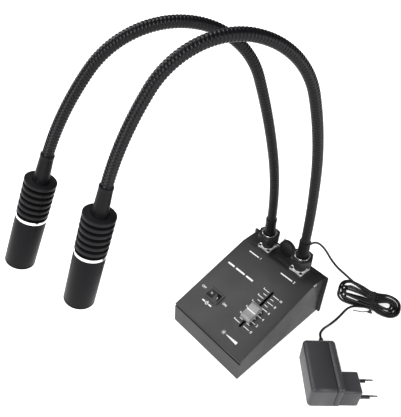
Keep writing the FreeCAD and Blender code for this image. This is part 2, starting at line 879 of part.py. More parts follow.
def make_led(side):
    seat = fin_count * fin_pitch + trim_length + barrel_grip
    board = rod(led_board_radius, led_board_thickness, vec(0, 0, seat))
    base = rod(led_base_radius, led_base_height, vec(0, 0, seat + led_board_thickness))
    dome = Part.makeSphere(led_dome_radius, vec(0, 0, seat + led_board_thickness + led_base_height))
    lower = rod(led_base_radius, led_dome_radius + overrun,
                vec(0, 0, seat + led_board_thickness - led_dome_radius - overrun))
    return on_head(join([board, base, dome.cut(lower)]), side)


# Spare cap and its chain

def make_cap():
    cup = turned([(0, 0), (cap_radius - cap_edge, 0), (cap_radius, cap_edge), (cap_radius, cap_length),
                  (cap_radius - cap_wall, cap_length), (cap_radius - cap_wall, cap_wall), (0, cap_wall)])
    face = vec(cap_x, cap_y - cap_length / 2, shelf_z + cap_radius)
    return placed(cup, frame_of(face, vec(1, 0, 0), vec(0, 1, 0)))


def make_chain():
    corner = socket_screw_offset
    flange_top = shelf_z + flange_thickness
    pivot = vec(-socket_x + corner, socket_y + corner, flange_top)
    eye = rod(eyelet_radius, eyelet_thickness, pivot)
    start = vec(-socket_x + socket_flange / 2 + 2 * bead_radius + chain_slack,
                socket_y + socket_flange / 2 + bead_radius, shelf_z + bead_radius)
    link_z = flange_top + link_radius + chain_lift
    edge_x = -socket_x + socket_flange / 2 + link_radius + chain_lift
    edge_y = pivot.y + (start.y - pivot.y) * (edge_x - pivot.x) / (start.x - pivot.x)
    knee = vec(edge_x, edge_y, link_z)
    finish = vec(cap_x - cap_radius * math.sin(math.radians(45)) - bead_radius * half_share,
                 cap_y + cap_length / 2 + bead_radius,
                 shelf_z + cap_radius + cap_radius * math.cos(math.radians(45)) - bead_radius * half_share)
    middle = (start + finish) * half_share + vec(-bead_radius, 2 * bead_radius, -bead_radius)
    arc = Part.Arc(start, middle, finish).toShape()
    hub = vec(pivot.x, pivot.y, link_z)
    level = knee - hub
    beads = [rod(link_radius, level.Length, hub, level.normalize()), Part.makeSphere(link_radius, knee)]
    last = knee
    for i in range(bead_count):
        share = i / (bead_count - 1)
        place = arc.valueAt(arc.FirstParameter + (arc.LastParameter - arc.FirstParameter) * share)
        beads.append(Part.makeSphere(bead_radius, place))
        step = place - last
        beads.append(rod(link_radius, step.Length, last, step.normalize()))
        last = place
    return join([eye] + beads)


# Power inlet

def make_jack():
    back = plate_front - jack_body_size[1]
    body = centred((jack_body_size[0], jack_body_size[1], jack_body_size[2]), jack_x,
                   plate_front - jack_body_size[1] / 2, jack_z - jack_body_size[2] / 2)
    barrel = rod(jack_barrel_radius, jack_barrel, vec(jack_x, plate_front, jack_z), vec(0, 1, 0))
    nut_corners = [vec(jack_nut_radius * math.cos(math.radians(60 * i)),
                       jack_nut_radius * math.sin(math.radians(60 * i)), 0)
                   for i in range(7)]
    nut = Part.Face(Part.makePolygon(nut_corners)).extrude(vec(0, 0, jack_nut_height))
    nut = placed(nut, frame_of(vec(jack_x, box_back, jack_z), vec(1, 0, 0), vec(0, 1, 0)))
    bore = rod(jack_bore_radius, jack_barrel + plug_pin,
               vec(jack_x, plate_front + jack_barrel + overrun, jack_z), vec(0, -1, 0))
    return join([body, barrel, nut]).cut(bore)


def plug_face():
    return plate_front + jack_barrel + fit_play


def make_dc_plug():
    body = grip_length
    sleeve = turned([(0, -plug_pin), (plug_pin_radius, -plug_pin), (plug_pin_radius, 0),
                     (grip_radius, 0), (grip_radius, body - grip_edge), (grip_radius - grip_edge, body),
                     (relief_foot, body), (cord_radius + fit_play, body + plug_relief),
                     (0, body + plug_relief)])
    return placed(sleeve, frame_of(vec(jack_x, plug_face(), jack_z), vec(1, 0, 0), vec(0, 1, 0)))


# Cord

def arc_from(start, tangent, finish):
    """Arc that leaves start along tangent and ends at finish, with its tangent there."""
    chord = finish - start
    length = chord.Length
    across = tangent - chord * (tangent.dot(chord) / (length * length))
    if across.Length < straight_limit:
        return Part.makeLine(start, finish), tangent
    cosine = tangent.dot(chord) / length
    angle = math.acos(max(-1.0, min(1.0, cosine)))
    across.normalize()
    middle = start + chord * half_share + across * (length / 2 * math.tan(angle / 2))
    leaving = chord * (2 * tangent.dot(chord) / (length * length)) - tangent
    return Part.Arc(start, middle, finish).toShape(), leaving


def bent_tube(points, radius, name):
    """Tube on straight runs joined by tangent arcs as large as the runs allow."""
    places = [vec(*p) for p in points]
    runs = [(places[i + 1] - places[i]).Length for i in range(len(places) - 1)]
    edges = []
    radii = []
    last = places[0]
    for i in range(1, len(places) - 1):
        before = (places[i] - places[i - 1]).normalize()
        after = (places[i + 1] - places[i]).normalize()
        turn = before.getAngle(after)
        reach = arc_share * min(runs[i - 1], runs[i])
        radii.append(reach / math.tan(turn / 2))
        first = places[i] - before * reach
        second = places[i] + after * reach
        edges.append(Part.makeLine(last, first))
        edges.append(arc_from(first, before, second)[0])
        last = second
    edges.append(Part.makeLine(last, places[-1]))
    path = Part.Wire(edges)
    heading = (places[1] - places[0]).normalize()
    profile = Part.Wire([Part.makeCircle(radius, places[0], heading)])
    tube = path.makePipeShell([profile], True, False)
    expected = math.pi * radius * radius * path.Length
    print(name, "length", round(path.Length, 1), "volume ratio", round(tube.Volume / expected, 4))
    print(name, "radii", [round(r, 1) for r in radii], "runs", [round(r, 1) for r in runs])
    return tube, path


def hank_point(x, y, z):
    turn = math.radians(hank_heading_degrees)
    return vec(hank_x + x * math.cos(turn) - y * math.sin(turn),
               hank_y + x * math.sin(turn) + y * math.cos(turn), z)


def lane(run):
    """Half width of the pile at a run: the loops wind in, climb, and wind out again."""
    return inner_lane + lane_step * abs(run - climb_lane)


def hank_edges():
    """Arcs of the pile from halfway to the tie on the first run to halfway past it on the last."""
    low = tie_thickness + tie_play + cord_radius
    turn = math.radians(hank_heading_degrees)
    ahead = vec(math.cos(turn), math.sin(turn), 0)
    arcs = []
    height = low
    place = hank_point(-hank_left, lane(0), height)
    for run in range(hank_lanes):
        side = 1 if run % 2 == 0 else -1
        width = side * lane(run)
        heading = ahead * side
        waist = hank_point(0, width - side * waist_draw, height)
        middle = (place + waist) * half_share
        arcs.append(arc_from(place, heading, middle))
        arcs.append(arc_from(middle, arcs[-1][1], waist))
        if run == climb_lane:
            height += layer_rise
        end_x = hank_right if side > 0 else -hank_left
        corner = hank_point(end_x, width, height)
        middle = (waist + corner) * half_share
        arcs.append(arc_from(waist, heading, middle))
        arcs.append(arc_from(middle, arcs[-1][1], corner))
        near = lane(run)
        far = lane(run + 1)
        tip = hank_point(end_x + side * near, 0, height)
        arcs.append(arc_from(corner, heading, tip))
        place = hank_point(end_x + side * (near - far), -side * far, height)
        arcs.append(arc_from(tip, arcs[-1][1], place))
    inner = arcs[1:-3]
    entry = inner[0][0].valueAt(inner[0][0].FirstParameter)
    finish = inner[-1][0].valueAt(inner[-1][0].LastParameter)
    entering = arcs[0][1]
    leaving = inner[-1][1]
    first = entry - entering * cord_diameter
    last = finish + leaving * cord_diameter
    edges = [Part.makeLine(first, entry)] + [arc[0] for arc in inner] + [Part.makeLine(finish, last)]
    return edges, first, entering, last, leaving


def least_gap(edges):
    """Least free distance between two stretches of the hank that aren't neighbours along it."""
    step = cord_diameter / 2
    samples = []
    travelled = 0.0
    for edge in edges:
        count = max(1, int(edge.Length / step))
        for i in range(count):
            part = edge.FirstParameter + (edge.LastParameter - edge.FirstParameter) * i / count
            samples.append((travelled + edge.Length * i / count, edge.valueAt(part)))
        travelled += edge.Length
    least = travelled
    for i in range(len(samples)):
        for j in range(i + 1, len(samples)):
            if samples[j][0] - samples[i][0] > 5 * cord_diameter:
                away = samples[i][1].distanceToPoint(samples[j][1])
                if away < least:
                    least = away
    return least - cord_diameter, travelled


def make_cords():
    edges, first, entering, last, leaving = hank_edges()
    gap, length = least_gap(edges)
    print("hank least gap", round(gap, 2), "length", round(length, 1), "loops", hank_lanes / 2)
    path = Part.Wire(edges)
    profile = Part.Wire([Part.makeCircle(cord_radius, first, entering)])
    hank = path.makePipeShell([profile], True, False)
    print("hank volume ratio", round(hank.Volume / (math.pi * cord_radius * cord_radius * path.Length), 4))
    print("hank from", [round(v, 2) for v in first], "to", [round(v, 2) for v in last])
    lead_start = (jack_x, plug_face() + grip_length + plug_relief, jack_z)
    before_entry = first - entering * (hank_approach * cord_diameter)
    lead_route = [lead_start] + lead_points + [tuple(before_entry), tuple(first)]
    lead, lead_path = bent_tube(lead_route, cord_radius, "lead")
    relief = relief_exit()
    approach = relief - case_axis() * (hank_approach * cord_diameter)
    past = last + leaving * (hank_approach * cord_diameter)
    tail_route = [tuple(last), tuple(past)] + tail_points + [tuple(approach), tuple(relief)]
    tail, tail_path = bent_tube(tail_route, cord_radius, "tail")
    print("cord in all", round(length + lead_path.Length + tail_path.Length, 1))
    return lead, hank, tail


def make_tie():
    top = tie_thickness + 3 * tie_play + cord_diameter + layer_rise
    near_side = -(lane(hank_lanes - 1) - waist_draw + cord_radius + tie_play)
    far_side = lane(0) - waist_draw + cord_radius + tie_play
    outer = block(-tie_width / 2, tie_width / 2, near_side - tie_thickness, far_side + tie_thickness,
                  0, top + tie_thickness)
    inner = block(-tie_width, tie_width, near_side, far_side, tie_thickness, top)
    outer = outer.makeFillet(cord_radius + tie_thickness,
                             [e for e in outer.Edges if abs(e.tangentAt(0).x) > half_share])
    inner = inner.makeFillet(cord_radius, [e for e in inner.Edges if abs(e.tangentAt(0).x) > half_share])
    band = outer.cut(inner)
    knot_y = near_side - tie_thickness - tie_knot_radius * half_share
    knot_z = tie_knot_radius + tie_play
    knot = rod(tie_knot_radius, 2 * tie_width, vec(-tie_width, knot_y, knot_z), vec(1, 0, 0))
    clear = block(-half_width, half_width, near_side, far_side, tie_thickness, top)
    start = vec(-tie_width, knot_y, knot_z)
    bend = vec(-tie_bend[0], knot_y - tie_bend[1], tie_tail_radius + tie_play)
    end = vec(-tie_end[0], knot_y - tie_end[1], tie_tail_radius + tie_play)
    strand = rod(tie_tail_radius, (bend - start).Length, start, (bend - start).normalize())
    strand = strand.fuse(Part.makeSphere(tie_tail_radius, bend))
    strand = strand.fuse(rod(tie_tail_radius, (end - bend).Length, bend, (end - bend).normalize()))
    whole = join([band, knot.cut(clear), strand])
    turn = FreeCAD.Rotation(up, hank_heading_degrees)
    return placed(whole, FreeCAD.Placement(vec(hank_x, hank_y, 0), turn))


# Adapter: local X runs from the cord end to the plug end, local Y from the back to the pins

def case_axis():
    turn = math.radians(adapter_heading_degrees)
    return vec(math.cos(turn), math.sin(turn), 0)


def on_table(shape):
    turn = FreeCAD.Rotation(up, adapter_heading_degrees)
    return placed(shape, FreeCAD.Placement(vec(adapter_x, adapter_y, 0), turn))


def relief_exit():
    across = up.cross(case_axis())
    return vec(adapter_x, adapter_y, case_height / 2) + across * relief_offset - case_axis() * relief_length


def rounded_case(y0, y1, open_side):
    shell = block(0, case_length, y0, y1, 0, case_height)
    edges = []
    for edge in shell.Edges:
        middle = edge.valueAt((edge.FirstParameter + edge.LastParameter) / 2)
        if abs(middle.y - open_side) > seam:
            edges.append(edge)
    return shell.makeFillet(case_edge, edges)


def make_adapter_body():
    back = rounded_case(0, case_depth - cover_depth - cover_seam, case_depth - cover_depth - cover_seam)
    return on_table(back)


def make_adapter_cover():
    front = rounded_case(case_depth - cover_depth, case_depth, case_depth - cover_depth)
    tongue = block(cover_groove + case_edge, case_length - cover_groove - case_edge,
                   case_depth - cover_depth - cover_seam, case_depth - cover_depth + overrun,
                   cover_groove + case_edge, case_height - cover_groove - case_edge)
    low = (case_height - block_height) / 2
    plug_block = block(case_length - block_length, case_length, case_depth - overrun,
                       case_depth + block_reach, low, low + block_height)
    edges = []
    for edge in plug_block.Edges:
        middle = edge.valueAt((edge.FirstParameter + edge.LastParameter) / 2)
        if middle.y > case_depth:
            edges.append(edge)
    plug_block = plug_block.makeFillet(block_edge, edges)
    whole = join([front, tongue, plug_block])
    for place in pin_places():
        whole = whole.cut(rod(pin_radius + fit_play, pin_root + overrun,
                              place + vec(0, overrun, 0), vec(0, -1, 0)))
    return on_table(whole)


def pin_places():
    middle = case_length - block_length / 2
    return [vec(middle + i * pin_pitch / 2, case_depth + block_reach, case_height / 2) for i in (-1, 1)]


def make_pins():
    pins = []
    for place in pin_places():
        pin = turned([(0, -pin_root), (pin_radius, -pin_root), (pin_radius, pin_sleeve),
                      (pin_radius - fit_play, pin_sleeve), (pin_radius - fit_play, pin_length - pin_tip),
                      (pin_radius - pin_tip, pin_length), (0, pin_length)])
        pins.append(on_table(placed(pin, frame_of(place, vec(1, 0, 0), vec(0, 1, 0)))))
    return Part.makeCompound(pins)


def make_relief():
    outline = [(0, 0), (relief_foot, 0)]
    step = relief_length / (2 * relief_ring_count + 1)
    for i in range(relief_ring_count):
        share = (2 * i + 1) / (2 * relief_ring_count + 1)
        radius = relief_foot + (relief_tip - relief_foot) * share
        outline += [(radius, (2 * i + 1) * step), (radius - cord_radius / 4, (2 * i + 1) * step),
                    (radius - cord_radius / 4, (2 * i + 2) * step), (radius, (2 * i + 2) * step)]
    outline += [(relief_tip, relief_length), (0, relief_length)]
    cone = turned(outline)
    foot = vec(0, relief_offset, case_height / 2)
    return on_table(placed(cone, frame_of(foot, vec(0, 1, 0), vec(-1, 0, 0))))


def main():
    os.makedirs("parts", exist_ok=True)
    export(make_cover(), "cover")
    export(make_chassis(), "chassis")
    export(make_rear_plate(), "rear_plate")
    export(make_pad(), "base_pad")
    export(make_ballast(), "ballast")
    export(make_board(), "driver_board")
    export(make_spacers(), "board_spacers")
    export(make_case_screws(), "case_screws")
    export(make_fader_body(), "fader_body")
    export(make_lever(), "fader_lever")
    export(make_knob(), "fader_knob")
    export(make_switch_body(), "switch_body")
    export(make_rocker(), "switch_rocker")
    export(make_socket_screws(), "socket_screws")
    export(make_cap(), "dust_cap")
    export(make_chain(), "cap_chain")
    export(make_jack(), "dc_jack")
    export(make_dc_plug(), "dc_plug")
    for side, name in ((-1, "left"), (1, "right")):
        export(make_socket(side), name + "_socket")
        export(make_plug(side), name + "_plug")
        export(make_nut(side), name + "_coupling_nut")
        export(make_boot(side), name + "_cable_boot")
        for index in range(section_count):
            export(make_neck(side, index), name + "_neck_" + str(index + 1))
        export(make_head_boot(side), name + "_head_boot")
        export(make_heat_sink(side), name + "_heat_sink")
        export(make_trim(side), name + "_trim_ring")
        export(make_barrel(side), name + "_barrel")
        export(make_lens(side), name + "_lens")
        export(make_led(side), name + "_led_module")
    lead, hank, tail = make_cords()
    export(lead, "cord_lead")
    export(hank, "cord_hank")
    export(tail, "cord_tail")
    export(make_tie(), "hank_tie")
    export(make_adapter_body(), "adapter_body")
    export(make_adapter_cover(), "adapter_cover")
    export(make_pins(), "mains_pins")
    export(make_relief(), "adapter_relief")


main()
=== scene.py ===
import math

import bmesh
import bpy
from mathutils import Matrix, Vector


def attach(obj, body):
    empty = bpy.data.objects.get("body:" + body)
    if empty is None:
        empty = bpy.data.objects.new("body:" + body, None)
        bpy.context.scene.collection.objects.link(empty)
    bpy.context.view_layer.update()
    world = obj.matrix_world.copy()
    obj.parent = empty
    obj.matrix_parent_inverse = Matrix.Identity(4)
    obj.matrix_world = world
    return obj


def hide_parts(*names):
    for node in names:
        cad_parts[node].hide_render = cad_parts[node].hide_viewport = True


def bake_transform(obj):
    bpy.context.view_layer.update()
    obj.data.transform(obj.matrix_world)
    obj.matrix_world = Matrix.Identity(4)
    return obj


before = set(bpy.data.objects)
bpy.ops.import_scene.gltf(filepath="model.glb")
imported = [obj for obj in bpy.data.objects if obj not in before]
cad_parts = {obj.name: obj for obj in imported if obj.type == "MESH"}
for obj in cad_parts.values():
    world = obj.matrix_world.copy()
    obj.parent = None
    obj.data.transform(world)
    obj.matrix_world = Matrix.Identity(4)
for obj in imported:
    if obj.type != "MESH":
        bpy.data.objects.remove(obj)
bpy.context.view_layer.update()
print("frame loaded,", len(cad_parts), "pieces of the packed model")

mm = 0.001
smoothAngle = 32  # degrees; sharper edges stay sharp
weldDistance = 2e-6
grainDepth, ringDepth = 0.0002, 0.0001
scene = bpy.context.scene
work = bpy.data.collections.new("dressing")
scene.collection.children.link(work)


def addMesh(name, mesh, materials=()):
    piece = bpy.data.objects.new(name, mesh)
    work.objects.link(piece)
    for skin in materials:
        mesh.materials.append(skin)
    return piece


def smoothByAngle(mesh, degrees=smoothAngle):
    mesh.polygons.foreach_set("use_smooth", [True] * len(mesh.polygons))
    mesh.set_sharp_from_angle(angle=math.radians(degrees))
    mesh.update()


def meshFromBm(bm, name, degrees=smoothAngle):
    mesh = bpy.data.meshes.new(name)
    bmesh.ops.recalc_face_normals(bm, faces=bm.faces)
    bm.to_mesh(mesh)
    bm.free()
    smoothByAngle(mesh, degrees)
    return mesh


def polar(radius, angle, z):
    return Vector((radius * math.cos(angle), radius * math.sin(angle), z))


# Faces between pairs of neighbouring rings. A ring can be a single point on the axis.
def bridge(bm, pairs):
    for a, b in pairs:
        count = max(len(a), len(b))
        for k in range(count if count > 1 else 0):
            n = (k + 1) % count
            if len(a) == 1:
                bm.faces.new((a[0], b[n], b[k]))
            elif len(b) == 1:
                bm.faces.new((a[k], a[n], b[0]))
            else:
                bm.faces.new((a[k], a[n], b[n], b[k]))


# (radius, height, corner) points, each corner rounded by its own size as far as its edges allow.
def softProfile(points, steps):
    edgeShare = 0.48
    out = []
    for i, (r, z, corner) in enumerate(points):
        here = Vector((r, z))
        if corner <= 0 or i in (0, len(points) - 1):
            out.append(here)
            continue
        before = Vector(points[i - 1][:2]) - here
        after = Vector(points[i + 1][:2]) - here
        reach = min(corner, before.length * edgeShare, after.length * edgeShare)
        a = here + before.normalized() * reach
        b = here + after.normalized() * reach
        for k in range(steps + 1):
            t = k / steps
            out.append(a * (1 - t) ** 2 + here * (2 * t * (1 - t)) + b * t ** 2)
    return out


# Turned piece about the Z axis of place, from (radius, height, corner) points in millimetres.
def lathe(name, points, segments=96, place=Matrix.Identity(4), steps=3, degrees=smoothAngle):
    bm = bmesh.new()
    rings = []
    for p in softProfile(points, steps):
        p = p * mm
        count = segments if p.x > 1e-7 else 1
        rings.append([bm.verts.new(place @ polar(p.x, 2 * math.pi * k / count, p.y)) for k in range(count)])
    bridge(bm, zip(rings, rings[1:] + rings[:1]))
    return meshFromBm(bm, name, degrees)


def joinMeshes(name, meshes):
    bm = bmesh.new()
    for mesh in meshes:
        bm.from_mesh(mesh)
    out = bpy.data.meshes.new(name)
    bm.to_mesh(out)
    bm.free()
    smoothByAngle(out)
    return out


def settle(piece, body, nodes=()):
    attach(piece, body)
    if nodes:
        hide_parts(*nodes)
    return piece


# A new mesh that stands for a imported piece.
def dress(node, mesh, skin, body, name=None):
    return settle(addMesh(name or node + "_look", mesh, [skin]), body, [node])


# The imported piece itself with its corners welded.
def weldedBm(node):
    bm = bmesh.new()
    bm.from_mesh(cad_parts[node].data)
    bmesh.ops.remove_doubles(bm, verts=bm.verts, dist=weldDistance)
    return bm


def dressedCopy(node, skin, body, name=None):
    name = name or node + "_look"
    return dress(node, meshFromBm(weldedBm(node), name), skin, body, name)


# A copy cut by a plane: the near finish behind it, the far one beyond.
def twoToneCopy(node, near, far, body, point, way):
    bm = weldedBm(node)
    bmesh.ops.bisect_plane(bm, geom=bm.verts[:] + bm.edges[:] + bm.faces[:], plane_co=point, plane_no=way)
    piece = addMesh(node + "_look", meshFromBm(bm, node + "_look"), [near, far])
    for polygon in piece.data.polygons:
        polygon.material_index = 1 if (polygon.center - point).dot(way) > 0 else 0
    return settle(piece, body, [node])


# The evaluated shape of a piece as a plain mesh; the piece itself goes.
def bakedMesh(piece, name):
    graph = bpy.context.evaluated_depsgraph_get()
    mesh = bpy.data.meshes.new_from_object(piece.evaluated_get(graph))
    mesh.name = name
    bpy.data.objects.remove(piece)
    return mesh


# Gives a node's inputs, by name or number, a value or a link.
def feed(tree, node, sockets):
    for key, value in sockets.items():
        if isinstance(value, bpy.types.NodeSocket):
            tree.links.new(value, node.inputs[key])
        else:
            node.inputs[key].default_value = value


def addNode(tree, kind, sockets=None, **settings):
    node = tree.nodes.new(kind)
    for key, value in settings.items():
        setattr(node, key, value)
    feed(tree, node, sockets or {})
    return node


def mathNode(tree, operation, a, b=None, clamp=False):
    sockets = {0: a} if b is None else {0: a, 1: b}
    return addNode(tree, "ShaderNodeMath", sockets, operation=operation, use_clamp=clamp).outputs[0]


def plusProduct(tree, base, a, b, clamp=False):
    return mathNode(tree, "ADD", base, mathNode(tree, "MULTIPLY", a, b), clamp)


def vectorNode(tree, operation, sockets):
    return addNode(tree, "ShaderNodeVectorMath", sockets, operation=operation).outputs


# Each input is told by its default, or by its kind where it has none.
def newGroup(name, treeKind, inputs, outputs):
    group = bpy.data.node_groups.new(name, treeKind)
    for label, value in inputs.items():
        if isinstance(value, tuple):
            kind = "Color" if len(value) == 4 else "Vector"
        else:
            kind = {int: "Int", float: "Float", str: value}[type(value)]
        socket = group.interface.new_socket(label, in_out="INPUT", socket_type="NodeSocket" + kind)
        if value != kind:
            socket.default_value = value
    for label, kind in outputs.items():
        group.interface.new_socket(label, in_out="OUTPUT", socket_type="NodeSocket" + kind)
    return group, group.nodes.new("NodeGroupInput").outputs, group.nodes.new("NodeGroupOutput")


finishOutputs = {"Colour": "Color", "Roughness": "Float", "Height": "Float"}


# Fine relief, slow patches of handling and specks of dust, for painted and moulded surfaces.
def makeGrainGroup():
    group, given, leave = newGroup("grainAndHandling", "ShaderNodeTree", {
        "Colour": (0.05, 0.05, 0.05, 1), "Grain Size": 0.0005, "Patch Size": 0.02, "Roughness": 0.5,
        "Roughness Spread": 0.1, "Colour Spread": 0.15, "Dust": 0.02}, finishOutputs)
    speckShare, spreadGain, dustColour = 0.33, 3.0, (0.45, 0.43, 0.4, 1)
    where = addNode(group, "ShaderNodeTexCoord").outputs["Object"]
    grainScale = mathNode(group, "DIVIDE", 1.0, given["Grain Size"])
    patchScale = mathNode(group, "DIVIDE", 1.0, given["Patch Size"])
    speckScale = mathNode(group, "MULTIPLY", grainScale, speckShare)
    grain = addNode(group, "ShaderNodeTexNoise", {
        "Vector": where, "Scale": grainScale, "Detail": 3.0, "Roughness": 0.6}).outputs["Fac"]
    patch = addNode(group, "ShaderNodeTexNoise", {
        "Vector": where, "Scale": patchScale, "Detail": 4.0, "Roughness": 0.55}).outputs["Fac"]
    speck = addNode(group, "ShaderNodeTexVoronoi", {
        "Vector": where, "Scale": speckScale, "Randomness": 1.0})
    speckMask = addNode(group, "ShaderNodeMapRange", {
        "Value": speck.outputs["Distance"], "From Min": 0.16, "From Max": 0.05}).outputs[0]
    patchSigned = mathNode(group, "SUBTRACT", patch, 0.5)
    spread = mathNode(group, "MULTIPLY", given["Roughness Spread"], spreadGain)
    rough = plusProduct(group, given["Roughness"], patchSigned, spread, clamp=True)
    both = mathNode(group, "ADD", patchSigned, mathNode(group, "SUBTRACT", grain, 0.5))
    shade = plusProduct(group, 1.0, both, given["Colour Spread"])
    scaled = vectorNode(group, "SCALE", {0: given["Colour"], "Scale": shade})[0]
    dust = mathNode(group, "MULTIPLY", speckMask, given["Dust"])
    dusted = addNode(group, "ShaderNodeMix", {0: dust, 6: scaled, 7: dustColour}, data_type="RGBA")
    feed(group, leave, {"Colour": dusted.outputs[2], "Roughness": rough, "Height": grain})
    return group


# Fine lathe rings about the Z axis of the given vector, with slow streaks.
def makeTurnedGroup():
    group, given, leave = newGroup("turnedRings", "ShaderNodeTree", {
        "Vector": (0, 0, 0), "Colour": (0.5, 0.5, 0.5, 1), "Ring Pitch": 0.0004, "Roughness": 0.3,
        "Roughness Spread": 0.12, "Colour Spread": 0.15}, finishOutputs)
    squeeze, streakScale = (0.03, 0.03, 1.0), 70.0
    stretched = vectorNode(group, "MULTIPLY", {0: given["Vector"], 1: squeeze})[0]
    ringScale = mathNode(group, "DIVIDE", 1.0, given["Ring Pitch"])
    rings = addNode(group, "ShaderNodeTexNoise", {
        "Vector": stretched, "Scale": ringScale, "Detail": 2.0, "Roughness": 0.7}).outputs["Fac"]
    slow = addNode(group, "ShaderNodeTexNoise", {
        "Vector": given["Vector"], "Scale": streakScale, "Detail": 3.0}).outputs["Fac"]
    both = mathNode(group, "ADD", mathNode(group, "SUBTRACT", rings, 0.5),
                    mathNode(group, "SUBTRACT", slow, 0.5))
    rough = plusProduct(group, given["Roughness"], both, given["Roughness Spread"], clamp=True)
    shade = plusProduct(group, 1.0, both, given["Colour Spread"])
    scaled = vectorNode(group, "SCALE", {0: given["Colour"], "Scale": shade})[0]
    feed(group, leave, {"Colour": scaled, "Roughness": rough, "Height": rings})
    return group


grainGroup = makeGrainGroup()
turnedGroup = makeTurnedGroup()


def emptyMaterial(name):
    material = bpy.data.materials.new(name)
    material.use_nodes = True
    tree = material.node_tree
    tree.nodes.clear()
    shader = tree.nodes.new("ShaderNodeBsdfPrincipled")
    addNode(tree, "ShaderNodeOutputMaterial", {0: shader.outputs[0]})
    return material, tree, shader


# Feeds a shader from one of the shared groups; kept are its own plain values.
def applyGroup(tree, shader, group, given, kept, bump, depth):
    made = addNode(tree, "ShaderNodeGroup", given, node_tree=group).outputs
    feed(tree, shader, {"Base Color": made["Colour"], "Roughness": made["Roughness"], **kept})
    if bump > 0:
        relief = addNode(tree, "ShaderNodeBump", {
            "Strength": bump, "Distance": depth, "Height": made["Height"]})
        tree.links.new(relief.outputs[0], shader.inputs["Normal"])


# Painted, moulded, rubber or clear finish. Grain and patch sizes are in millimetres.
def grainFinish(name, colour, grain=0.5, patch=20.0, roughness=0.5, spread=0.1, colourSpread=0.15,
                dust=0.02, bump=0.15, metallic=0.0, specular=0.5, clear=None):
    material, tree, shader = emptyMaterial(name)
    given = {"Colour": (*colour, 1), "Grain Size": grain * mm, "Patch Size": patch * mm, "Dust": dust,
             "Roughness": roughness, "Roughness Spread": spread, "Colour Spread": colourSpread}
    kept = {"Metallic": metallic, "Specular IOR Level": specular, **(clear or {})}
    applyGroup(tree, shader, grainGroup, given, kept, bump, grainDepth)
    return material


# Turned metal whose rings run about the Z axis of place, with the ring pitch in millimetres.
def turnedFinish(name, place, colour, pitch, roughness, spread=0.12, colourSpread=0.15, metallic=1.0,
                 bump=0.1, specular=0.5):
    material, tree, shader = emptyMaterial(name)
    back = place.inverted()
    turn = addNode(tree, "ShaderNodeMapping", {
        "Vector": addNode(tree, "ShaderNodeTexCoord").outputs["Object"],
        "Location": back.to_translation(), "Rotation": back.to_euler("XYZ")}, vector_type="POINT")
    given = {"Vector": turn.outputs[0], "Colour": (*colour, 1), "Ring Pitch": pitch * mm,
             "Roughness": roughness, "Roughness Spread": spread, "Colour Spread": colourSpread}
    kept = {"Metallic": metallic, "Specular IOR Level": specular}
    applyGroup(tree, shader, turnedGroup, given, kept, bump, ringDepth)
    return material


